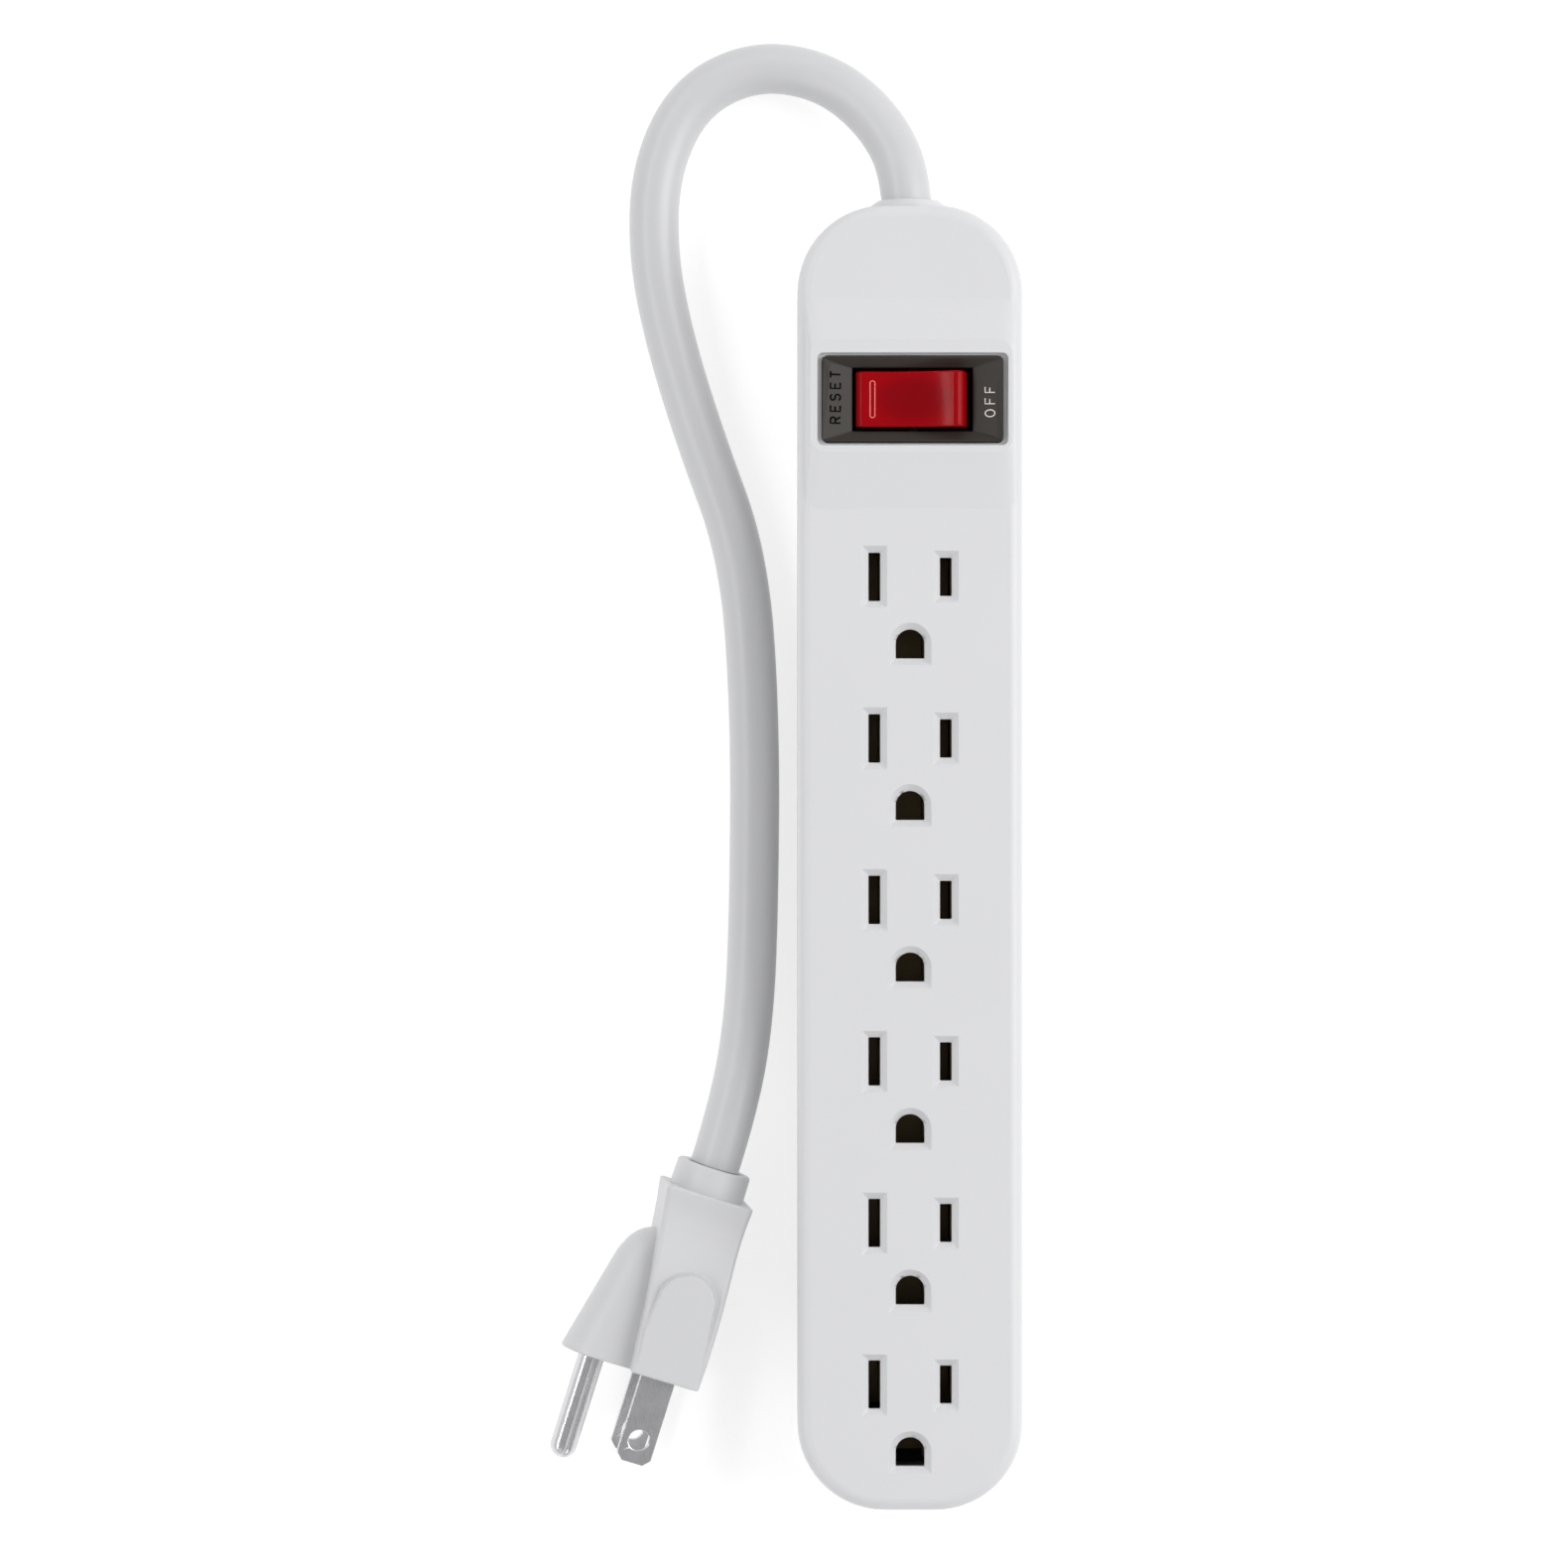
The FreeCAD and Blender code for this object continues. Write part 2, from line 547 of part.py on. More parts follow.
def add_clips(body, across, along_y, gap, length, height):
    """Two spring leaves at each outlet, standing on the strip."""
    leaves = new_sketch(body, "leaves", "XY_Plane", "tray_top")
    for side in (-1, 1):
        middle = f"{across} + {side} * ({gap} + leaf_thick) / 2"
        rectangle(leaves, middle, along_y, "leaf_thick", length)
    clip = pad(body, "clip", leaves, height)
    along(body, "clips", [clip], "Y_Axis", "outlets_run", "outlet_count")
    body.Tip.Reversed = True
    doc.recompute()


def make_bus_bars():
    low_y = "last_outlet_y - leaf_length / 2 - bus_tail / 2"
    line = bus_bar("line_bus", "blade_half_pitch", low_y)
    add_clips(line, "blade_half_pitch", "outlet_first_y", "blade_gap", "leaf_length",
              "clip_height")
    neutral = bus_bar("neutral_bus", "-blade_half_pitch", low_y)
    add_clips(neutral, "-blade_half_pitch", "outlet_first_y", "blade_gap", "leaf_length",
              "clip_height")
    make_ground_bus("last_outlet_y - ground_drop - ground_leaf_length / 2")


def make_ground_bus(low_y):
    """Ground strip: wide enough to carry the leaves on both sides of the pin."""
    body = new_body("ground_bus")
    strip = new_sketch(body, "strip", "XY_Plane", "tray_top")
    rectangle(strip, "0", f"(bus_high_y + ({low_y})) / 2", "pin_gap + 2 * leaf_thick",
              f"bus_high_y - ({low_y})")
    pad(body, "flat", strip, "bus_thick")
    tab = new_sketch(body, "tab", "XY_Plane", "tray_top")
    rectangle(tab, "0", "bus_high_y - bus_thick / 2", "bus_width", "bus_thick")
    pad(body, "wire_tab", tab, "tab_height")
    add_clips(body, "0", "outlet_first_y - ground_drop", "pin_gap", "ground_leaf_length",
              "ground_clip_height")
    return body


# ---------------------------------------------------------------- switch

def make_switch_housing():
    """Switch body: a sloped bezel, a flange under the case's face and a chamber for the works."""
    body = new_body("switch_housing")
    lower = new_sketch(body, "lower", "XY_Plane", "housing_bottom")
    rectangle(lower, "switch_x", "switch_y", "housing_width", "housing_length")
    pad(body, "box", lower, "face_under - flange_thick - housing_bottom")
    flange = new_sketch(body, "flange", "XY_Plane", "face_under - flange_thick")
    rectangle(flange, "switch_x", "switch_y", "bezel_width + 2 * flange_lip",
              "bezel_length + 2 * flange_lip")
    pad(body, "flange_plate", flange, "flange_thick")
    bezel = new_sketch(body, "bezel", "XY_Plane", "face_under")
    rounded_rectangle(bezel, "switch_x", "switch_y", "bezel_width", "bezel_length",
                      "bezel_corner")
    pad(body, "bezel_block", bezel, "bezel_top - face_under")
    slope_top = new_sketch(body, "slope_top", "XY_Plane", "bezel_top")
    rectangle(slope_top, "switch_x", "switch_y", "bezel_width - 2 * bezel_lip",
              "bezel_length - 2 * bezel_lip")
    slope_foot = new_sketch(body, "slope_foot", "XY_Plane", "bezel_top - bezel_slope_depth")
    rectangle(slope_foot, "switch_x", "switch_y", "well_width", "well_length")
    slope = body.newObject("PartDesign::SubtractiveLoft", "switch_housing_slope")
    slope.Profile = slope_top
    slope.Sections = [slope_foot]
    slope.Ruled = True
    doc.recompute()
    well = new_sketch(body, "well", "XY_Plane", "chamber_floor")
    rectangle(well, "switch_x", "switch_y", "well_width", "well_length")
    pocket(body, "chamber", well, "bezel_top - chamber_floor", reverse=True)
    slits = new_sketch(body, "slits", "XY_Plane", "housing_bottom")
    for across in ("line_tab_x", "pivot_x", "lamp_tab_x"):
        rectangle(slits, across, "switch_y", "tab_thick", "tab_width")
    pocket(body, "terminal_slits", slits, "housing_floor", reverse=True)
    seat = new_sketch(body, "pin_seat", "XZ_Plane", "-switch_y")
    circle(seat, "pivot_x", "pivot_z", "pin_radius")
    pocket(body, "pin_holes", seat, "2 * housing_length", both=True)
    return body


def place_at_pivot(body):
    """Stands a switch piece at the rocker's pivot, tilted to the ON side."""
    body.setExpression("Placement.Base.x", from_sheet("pivot_x"))
    body.setExpression("Placement.Base.y", from_sheet("switch_y"))
    body.setExpression("Placement.Base.z", from_sheet("pivot_z"))
    body.setExpression("Placement.Rotation.Yaw", "0")
    body.setExpression("Placement.Rotation.Pitch", from_sheet("-rocker_tilt"))
    doc.recompute()


def make_rocker():
    """Rocker with a shallow dished top, a tail for the plunger and pockets for the lamp."""
    body = new_body("rocker")
    side = new_sketch(body, "side", "XZ_Plane")
    right = [("rocker_crest_half", "rocker_crest"), ("rocker_half", "rocker_end_low"),
             ("rocker_crest_half", "-rocker_heel"), ("tail_half + 1", "-rocker_belly"),
             ("tail_half", "-tail_depth")]
    left = [(f"-({across})", up) for across, up in reversed(right)]
    polygon(side, [("0", "rocker_dip")] + right + left)
    pad(body, "block", side, "rocker_thick", both=True)
    crest = size("rocker_crest")
    fillet(body, "crests", "crest_round", lambda edge: is_crest(edge, crest))
    eye = new_sketch(body, "eye", "XZ_Plane")
    circle(eye, "0", "0", "pin_radius + pin_play")
    pocket(body, "pin_eye", eye, "2 * rocker_thick", both=True)
    bore = new_sketch(body, "bore", "XY_Plane", "-tail_depth")
    circle(bore, "0", "0", "plunger_radius + plunger_play")
    pocket(body, "plunger_bore", bore, "tail_depth - bore_top", reverse=True)
    pockets = new_sketch(body, "pockets", "XZ_Plane")
    for side_sign in (-1, 1):
        rectangle(pockets, f"{side_sign} * lamp_offset", "(pocket_top - 2 * rocker_belly) / 2",
                  "2 * (lamp_radius + lamp_play)", "pocket_top + 2 * rocker_belly")
    pocket(body, "lamp_pockets", pockets, "lamp_length + 2 * lamp_play", both=True)
    place_at_pivot(body)
    return body


def is_crest(edge, crest):
    box = edge.BoundBox
    return box.ZMin > crest - 0.01 and box.XLength < 0.01


def make_rocker_pin():
    pin = doc.addObject("Part::Cylinder", "rocker_pin")
    pin.Label = "rocker_pin"
    pin.setExpression("Radius", from_sheet("pin_radius"))
    pin.setExpression("Height", from_sheet("housing_length"))
    pin.setExpression("Placement.Base.x", from_sheet("pivot_x"))
    pin.setExpression("Placement.Base.y", from_sheet("switch_y + housing_length / 2"))
    pin.setExpression("Placement.Base.z", from_sheet("pivot_z"))
    pin.setExpression("Placement.Rotation.Roll", "90")
    doc.recompute()
    return pin


def make_plunger():
    body = new_body("plunger")
    half = new_sketch(body, "half", "XZ_Plane")
    radius = size("plunger_radius")
    tip = size("plunger_tip")
    top = size("plunger_top")
    ball = Part.Circle(Vector(0, radius - tip, 0), Vector(0, 0, 1), radius)
    half.addGeometry(Part.ArcOfCircle(ball, -math.pi / 2, 0), False)
    corners = [Vector(radius, radius - tip, 0), Vector(radius, -top, 0), Vector(0, -top, 0),
               Vector(0, -tip, 0)]
    for one, two in zip(corners, corners[1:]):
        half.addGeometry(Part.LineSegment(one, two), False)
    turned = feature(body, "Revolution", "turned", half)
    turned.ReferenceAxis = (half, ["V_Axis"])
    turned.Angle = 360
    place_at_pivot(body)
    return body


def make_rocker_spring():
    """Coil spring between the rocker's bore and the plunger."""
    wire_radius = size("spring_wire / 2")
    coil_radius = size("plunger_radius") - wire_radius
    low = -size("plunger_top") + wire_radius
    high = -size("bore_top") - wire_radius
    turns = size("spring_turns")
    helix = Part.makeHelix((high - low) / turns, high - low, coil_radius)
    ring = Part.makeCircle(wire_radius, Vector(coil_radius, 0, 0), Vector(0, 1, 0))
    coil = Part.Wire(helix).makePipeShell([Part.Wire([ring])], True, True)
    spring = doc.addObject("Part::Feature", "rocker_spring")
    spring.Label = "rocker_spring"
    spring.Shape = coil
    turn = Rotation(Vector(0, 1, 0), -size("rocker_tilt"))
    foot = Placement(Vector(0, 0, low), Rotation())
    spring.Placement = Placement(pivot_point(), turn).multiply(foot)
    return spring


def pivot_point():
    return Vector(size("pivot_x"), size("switch_y"), size("pivot_z"))


def small_cylinder(name, radius, length, offset, lift):
    """Lamp or resistor lying across the rocker in its own pocket."""
    body = new_body(name)
    end = new_sketch(body, "end", "XZ_Plane")
    circle(end, offset, lift, radius)
    pad(body, "barrel", end, length, both=True)
    place_at_pivot(body)
    return body


def make_contact_arm():
    """See-saw contact arm standing on the middle terminal, right end down at ON."""
    body = new_body("contact_arm")
    plate = new_sketch(body, "plate", "XY_Plane", "-arm_thick / 2")
    rectangle(plate, "0", "0", "2 * arm_half", "arm_width")
    pad(body, "blade", plate, "arm_thick")
    place_on_arm(body)
    rivet = new_body("moving_contact")
    face = new_sketch(rivet, "face", "XY_Plane", "-arm_thick / 2")
    circle(face, "contact_x", "0", "contact_radius")
    pad(rivet, "button", face, "contact_thick", reverse=True)
    place_on_arm(rivet)


def place_on_arm(body):
    body.setExpression("Placement.Base.x", from_sheet("pivot_x"))
    body.setExpression("Placement.Base.y", from_sheet("switch_y"))
    body.setExpression("Placement.Base.z", from_sheet("arm_pivot_z"))
    body.setExpression("Placement.Rotation.Pitch", from_sheet("arm_tilt"))
    doc.recompute()


def terminal(name, foot_way):
    """Flat terminal through the housing's floor, with a foot lying on that floor."""
    body = new_body(name)
    tab = new_sketch(body, "tab", "XY_Plane", "tab_bottom")
    rectangle(tab, f"switch_x + {foot_way} * tab_x", "switch_y", "tab_thick", "tab_width")
    pad(body, "tab_blade", tab, "chamber_floor - tab_bottom")
    foot = new_sketch(body, "foot", "XY_Plane", "chamber_floor")
    middle = "(tab_x + tab_thick / 2 + foot_inner_x) / 2"
    rectangle(foot, f"switch_x + {foot_way} * {middle}", "switch_y",
              "tab_x + tab_thick / 2 - foot_inner_x", "tab_width")
    pad(body, "foot_plate", foot, "foot_thick")
    return body


def make_terminals():
    terminal("line_terminal", 1)
    terminal("lamp_terminal", -1)
    body = new_body("load_terminal")
    post = new_sketch(body, "post", "XY_Plane", "tab_bottom")
    rectangle(post, "pivot_x", "switch_y", "tab_thick", "tab_width")
    pad(body, "post_blade", post, "arm_pivot_z - arm_thick / 2 - post_gap - tab_bottom")


def make_trip_parts():
    """Bimetal strip on the line terminal's foot, with the fixed contact on it."""
    strip = new_body("bimetal_strip")
    flat = new_sketch(strip, "flat", "XY_Plane", "chamber_floor + foot_thick")
    rectangle(flat, "switch_x + (tab_x + tab_thick / 2 + foot_inner_x) / 2", "switch_y",
              "tab_x + tab_thick / 2 - foot_inner_x", "tab_width - leaf_inset")
    pad(strip, "leaf", flat, "foot_thick")
    contact = new_body("fixed_contact")
    face = new_sketch(contact, "face", "XY_Plane", "chamber_floor + 2 * foot_thick")
    circle(face, "pivot_x + contact_x", "switch_y", "contact_radius")
    pad(contact, "button", face, "contact_thick")


# ---------------------------------------------------------------- tubes

def tube_path(points):
    """Straight runs joined by tangent arcs, and the arcs' radii."""
    edges = []
    radii = []
    start = points[0]
    for index in range(1, len(points) - 1):
        before, here, after = points[index - 1], points[index], points[index + 1]
        run_in = (here - before).Length
        run_out = (after - here).Length
        way_in = (here - before).normalize()
        way_out = (after - here).normalize()
        turn = way_in.getAngle(way_out)
        reach = 0.45 * min(run_in, run_out)
        radius = reach / math.tan(turn / 2)
        radii.append(radius)
        arc_start = here - way_in * reach
        arc_end = here + way_out * reach
        inward = (way_out - way_in).normalize()
        middle = here + inward * (radius / math.cos(turn / 2) - radius)
        edges.append(Part.LineSegment(start, arc_start).toShape())
        edges.append(Part.Arc(arc_start, middle, arc_end).toShape())
        start = arc_end
    edges.append(Part.LineSegment(start, points[-1]).toShape())
    return Part.Wire(edges), radii


def make_tube(name, points, radius):
    path, radii = tube_path(points)
    way = (points[1] - points[0]).normalize()
    ring = Part.Wire([Part.makeCircle(radius, points[0], way)])
    solid = path.makePipeShell([ring], True, False)
    wanted = math.pi * radius ** 2 * path.Length
    print(f"{name}: length {path.Length:.1f}, smallest radius {min(radii):.1f},"
          f" volume {solid.Volume / wanted:.4f} of section x length")
    print("  radii " + " ".join(f"{value:.0f}" for value in radii))
    tube = doc.addObject("Part::Feature", name)
    tube.Label = name
    tube.Shape = solid
    return tube


def vectors(points):
    return [Vector(*point) for point in points]


def plug_frame():
    """Where the plug lies: turned on the surface and rolled a little about its pins."""
    turn = Rotation(Vector(0, 0, 1), size("plug_turn"))
    roll = Rotation(Vector(0, 1, 0), size("plug_roll"))
    place = Vector(size("plug_x"), size("plug_y"), size("plug_lift"))
    return Placement(place, turn.multiply(roll))


def make_power_cord():
    frame = plug_frame()
    collar_end = size("plug_length + collar_length")
    end = frame.multVec(Vector(size("plug_cord_x"), collar_end, 0))
    ahead = frame.multVec(Vector(size("plug_cord_x"), collar_end + CORD_LAST_RUN, 0))
    route = vectors(CORD_ROUTE) + [ahead, end]
    make_tube("power_cord", route, size("cord_radius"))


def make_wires():
    """Conductors from the cord's jacket end to the switch and the contact strips."""
    jacket = size("jacket_end_y")
    bus_y = size("bus_high_y")
    tab_y = size("switch_y + tab_width / 2")
    tab_back_y = size("switch_y - tab_width / 2")
    wire = size("wire_radius")
    low = size("tray_top + bus_thick") + wire - WIRE_SINK
    tab_z = size("tab_bottom") + wire
    strip_x = size("blade_half_pitch")
    line_x = size("line_tab_x")
    lamp_x = size("lamp_tab_x")
    load_x = size("pivot_x")
    pair_z = size("gland_z") + PAIR_LIFT
    ground_z = size("gland_z") - GROUND_DROP
    make_tube("line_wire", [
        Vector(PAIR_X, jacket, pair_z), Vector(PAIR_X, jacket - 4, pair_z),
        Vector(4.2, jacket - 11, 10.6), Vector(line_x, tab_y + 8, tab_z),
        Vector(line_x, tab_y, tab_z)], wire)
    make_tube("neutral_wire", [
        Vector(-PAIR_X, jacket, pair_z), Vector(-PAIR_X, jacket - 4, pair_z),
        Vector(-5.4, jacket - 12.5, 13.9), Vector(-13.4, jacket - 16, 14.0),
        Vector(-15.9, jacket - 24, 14.0), Vector(-15.8, jacket - 35, 13.0),
        Vector(-13.0, bus_y + 9.5, 10.0), Vector(-8.0, bus_y + 7, 7.6),
        Vector(-strip_x, bus_y + 4, low), Vector(-strip_x, bus_y, low)], wire)
    make_tube("ground_wire", [
        Vector(0.0, jacket, ground_z), Vector(0.0, jacket - 4, ground_z),
        Vector(-2.0, jacket - 12, 8.8), Vector(-4.0, jacket - 19, 7.1),
        Vector(-4.0, jacket - 30, 7.1), Vector(-3.6, bus_y + 12, 7.1),
        Vector(0.0, bus_y + 6, low), Vector(0.0, bus_y, low)], wire)
    make_tube("switched_wire", [
        Vector(load_x, tab_back_y, tab_z + 0.2), Vector(load_x, tab_back_y - 5, tab_z + 0.2),
        Vector(strip_x, bus_y + 6, low), Vector(strip_x, bus_y, low)], wire)
    make_tube("lamp_wire", [
        Vector(lamp_x, tab_back_y, tab_z + 0.5), Vector(lamp_x, tab_back_y - 4.5, tab_z + 0.5),
        Vector(-strip_x, bus_y + 6, low + 2.6), Vector(-strip_x, bus_y, low + 2.6)],
        size("lamp_wire_radius"))


def make_cord_gland():
    """Bushing clamped between the shells: outer cone and flange, body in the wall, inner collar."""
    body = new_body("cord_gland")
    half = new_sketch(body, "half", "YZ_Plane")
    bore = "gland_z + cord_radius + cord_play"
    face = "case_length / 2"
    polygon(half, [
        (f"{face} + gland_proud", bore),
        (f"{face} + gland_proud", "gland_z + gland_cone_radius"),
        (f"{face} + gland_flange_thick", "gland_z + gland_flange_radius"),
        (face, "gland_z + gland_flange_radius"),
        (face, "gland_z + gland_body_radius"),
        (f"{face} - wall - gland_grip", "gland_z + gland_body_radius"),
        (f"{face} - wall - gland_grip", "gland_z + gland_collar_radius"),
        (f"{face} - wall - gland_collar_length", "gland_z + gland_collar_radius"),
        (f"{face} - wall - gland_collar_length", bore)])
    axis_line = Part.LineSegment(Vector(0, size("gland_z"), 0), Vector(1, size("gland_z"), 0))
    axis = half.addGeometry(axis_line, True)
    pin_point(half, axis, 1, "0", "gland_z")
    pin_point(half, axis, 2, "1", "gland_z")
    turned = feature(body, "Revolution", "turned", half)
    turned.ReferenceAxis = (half, ["Axis0"])
    turned.Angle = 360
    doc.recompute()
    return body


# ---------------------------------------------------------------- plug

def place_as_plug(item):
    item.Placement = plug_frame()


def make_plug_body():
    """Moulded plug: trunk toward the cord, ground lobe on the -X side, blades' face at Y = 0."""
    body = new_body("plug_body")
    trunk = new_sketch(body, "trunk", "XY_Plane")
    lip_left = "plug_cord_x - plug_lip_half"
    lip_right = "plug_cord_x + plug_lip_half"
    polygon(trunk, [
        ("-plug_left_x", "0"), ("plug_right_x", "0"), ("plug_right_x", "plug_length * 0.75"),
        (lip_right, "plug_length"), (lip_left, "plug_length"),
        ("plug_cord_x - plug_neck_half", "plug_length * 0.76")])
    pad(body, "trunk_block", trunk, "2 * plug_half_thick", both=True)
    taper = new_sketch(body, "taper", "YZ_Plane")
    for side in (-1, 1):
        polygon(taper, [
            ("plug_length * 0.3", f"{side} * plug_half_thick"),
            ("plug_length * 0.72", f"{side} * plug_neck_half"),
            ("plug_length * 0.9", f"{side} * plug_neck_half"),
            ("plug_length", f"{side} * plug_lip_half"),
            ("plug_length * 1.1", f"{side} * plug_lip_half"),
            ("plug_length * 1.1", f"{side} * 1.1 * plug_half_thick"),
            ("plug_length * 0.3", f"{side} * 1.1 * plug_half_thick")])
    pocket(body, "waist", taper, "2 * plug_length", both=True)
    trunk_corner = size("plug_half_thick") - 0.01
    fillet(body, "trunk_edges", "trunk_round",
           lambda edge: is_long_edge(edge, trunk_corner))
    lobe = new_sketch(body, "lobe", "XY_Plane")
    polygon(lobe, [
        ("0", "0"), ("0", "lobe_length"), ("-lobe_reach + 10.5", "lobe_length * 1.03"),
        ("-lobe_reach + 7.5", "lobe_length * 0.97"), ("-lobe_reach + 4.8", "lobe_length * 0.81"),
        ("-lobe_reach", "0")])
    pad(body, "lobe_block", lobe, "2 * lobe_half_thick", both=True)
    reach = size("lobe_reach")
    fillet(body, "lobe_edges", "lobe_round", lambda edge: is_lobe_edge(edge, reach))
    roots = new_sketch(body, "roots", "XZ_Plane")
    for side in (-1, 1):
        rectangle(roots, "0", f"{side} * blade_half_pitch", "blade_width", "blade_thick")
    circle(roots, "-ground_drop", "0", "ground_pin_radius")
    pocket(body, "pin_roots", roots, "blade_root")
    place_as_plug(body)
    return body


def is_long_edge(edge, corner):
    """Edges of the trunk's broad faces that run toward the cord."""
    box = edge.BoundBox
    if box.YLength < 5:
        return False
    return abs(box.ZMax) > corner and abs(box.ZMin) > corner


def is_lobe_edge(edge, reach):
    """The lobe's outer slanting edges, on both broad faces."""
    box = edge.BoundBox
    return box.XMin < -reach + 0.01 and box.YLength > 5


def make_plug_collar():
    body = new_body("plug_collar")
    end = new_sketch(body, "end", "XZ_Plane", "-plug_length")
    circle(end, "plug_cord_x", "0", "collar_radius")
    pad(body, "ring", end, "collar_length", reverse=True)
    place_as_plug(body)
    return body


def make_blade(name, side):
    body = new_body(name)
    level = f"{side} * blade_half_pitch"
    flat = new_sketch(body, "flat", "XY_Plane", level)
    half = "blade_width / 2"
    tip = "-blade_length"
    polygon(flat, [
        (f"-{half}", "blade_root"), (f"-{half}", f"{tip} + blade_chamfer"),
        (f"-{half} + blade_chamfer", tip), (f"{half} - blade_chamfer", tip),
        (half, f"{tip} + blade_chamfer"), (half, "blade_root")])
    pad(body, "leaf", flat, "blade_thick", both=True)
    hole = new_sketch(body, "hole", "XY_Plane", level)
    circle(hole, "0", f"{tip} + blade_hole_back", "blade_hole_radius")
    pocket(body, "tip_hole", hole, "2 * blade_thick", both=True)
    place_as_plug(body)
    return body


def make_ground_pin():
    body = new_body("plug_ground_pin")
    end = new_sketch(body, "end", "XZ_Plane", "-blade_root")
    circle(end, "-ground_drop", "0", "ground_pin_radius")
    pad(body, "rod", end, "blade_root + ground_pin_length")
    tip = -size("ground_pin_length")
    fillet(body, "nose", "pin_nose",
           lambda edge: edge.BoundBox.YMax < tip + 0.01)
    place_as_plug(body)
    return body


# ---------------------------------------------------------------- everything

def build_all():
    make_base_shell()
    make_top_cover()
    make_case_screws()
    make_contact_tray()
    make_bus_bars()
    make_switch_housing()
    make_rocker()
    make_rocker_pin()
    make_plunger()
    make_rocker_spring()
    small_cylinder("indicator_lamp", "lamp_radius", "lamp_length", "lamp_offset", "lamp_lift")
    small_cylinder("lamp_resistor", "resistor_radius", "lamp_length", "-lamp_offset",
                   "lamp_lift")
    make_contact_arm()
    make_terminals()
    make_trip_parts()
    make_cord_gland()
    make_power_cord()
    make_wires()
    make_plug_body()
    make_plug_collar()
    make_blade("plug_line_blade", 1)
    make_blade("plug_neutral_blade", -1)
    make_ground_pin()
    doc.recompute()


def sub_parts():
    kinds = ("PartDesign::Body", "Part::Cylinder", "Part::Feature")
    return [item for item in doc.Objects if item.TypeId in kinds]


def check_and_write():
    broken = [item.Name for item in doc.Objects
              if "Invalid" in item.State or "Error" in item.State]
    if broken:
        raise RuntimeError(f"objects that failed: {broken}")
    for item in sub_parts():
        if item.Shape.isNull() or not item.Shape.isValid():
            raise RuntimeError(f"{item.Label} has no valid shape")
    os.makedirs("parts", exist_ok=True)
    for item in sub_parts():
        item.Shape.exportStep(f"parts/{item.Label}.step")
    print(f"wrote {len(sub_parts())} sub-parts")


fill_sheet()
build_all()
check_and_write()
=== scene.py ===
import json
import math

import bmesh
import bpy
from mathutils import Matrix, Vector


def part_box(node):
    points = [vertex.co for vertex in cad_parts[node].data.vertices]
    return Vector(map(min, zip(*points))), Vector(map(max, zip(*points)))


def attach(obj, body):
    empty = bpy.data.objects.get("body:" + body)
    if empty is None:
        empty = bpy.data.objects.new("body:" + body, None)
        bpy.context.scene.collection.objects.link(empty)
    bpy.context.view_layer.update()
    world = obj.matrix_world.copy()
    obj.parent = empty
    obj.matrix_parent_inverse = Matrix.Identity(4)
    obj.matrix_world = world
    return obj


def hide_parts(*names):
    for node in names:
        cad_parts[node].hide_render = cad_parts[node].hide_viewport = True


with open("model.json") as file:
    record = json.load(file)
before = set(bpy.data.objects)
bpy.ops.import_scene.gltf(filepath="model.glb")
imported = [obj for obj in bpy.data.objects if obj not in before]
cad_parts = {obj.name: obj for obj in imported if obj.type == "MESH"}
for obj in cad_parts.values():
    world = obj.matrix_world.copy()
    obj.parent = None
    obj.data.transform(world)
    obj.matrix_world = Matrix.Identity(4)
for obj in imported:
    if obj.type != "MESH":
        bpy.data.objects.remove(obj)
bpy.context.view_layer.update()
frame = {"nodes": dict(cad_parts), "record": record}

MM = 0.001
BODY = "case"


# ------------------------------------------------------------------ places

def mount(name):
    """Position and direction of one of the part's mounts."""
    found = next(item for item in frame["record"]["mounts"] if item["name"] == name)
    return Vector(found["pos_m"]), Vector(found["axis"]).normalized()


def joint(name):
    """One of the part's joints, as its record has it."""
    return next(item for item in frame["record"]["behaviour"]["joints"] if item["name"] == name)


ISLAND_RISE = 2 * MM
FACE_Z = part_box("top_cover")[1][2] - ISLAND_RISE
BEZEL_TOP_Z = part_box("switch_housing")[1][2]
ROCKER_PIVOT = Vector(joint("rocker_tilt")["pos_m"])
ROCKER_TILT = math.radians(-9.0)
SWITCH_Y = ROCKER_PIVOT.y
SWITCH_X = (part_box("switch_housing")[0][0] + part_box("switch_housing")[1][0]) / 2 / MM

PLUG_ROLL = math.radians(7.0)
PLUG_ORIGIN, PLUG_WAY = mount("wall_plug")
PLUG_TURN = math.atan2(PLUG_WAY.x, -PLUG_WAY.y)
PLUG = (Matrix.Translation(PLUG_ORIGIN) @ Matrix.Rotation(PLUG_TURN, 4, "Z")
        @ Matrix.Rotation(PLUG_ROLL, 4, "Y"))
PLUG_CORD_X = -0.9 * MM
PLUG_LENGTH = 33.8 * MM
COLLAR_END = 38.7 * MM
CORD_DIAMETER = 9 * MM
CORD_LAST_RUN = 11 * MM


# ------------------------------------------------------------------ finishes

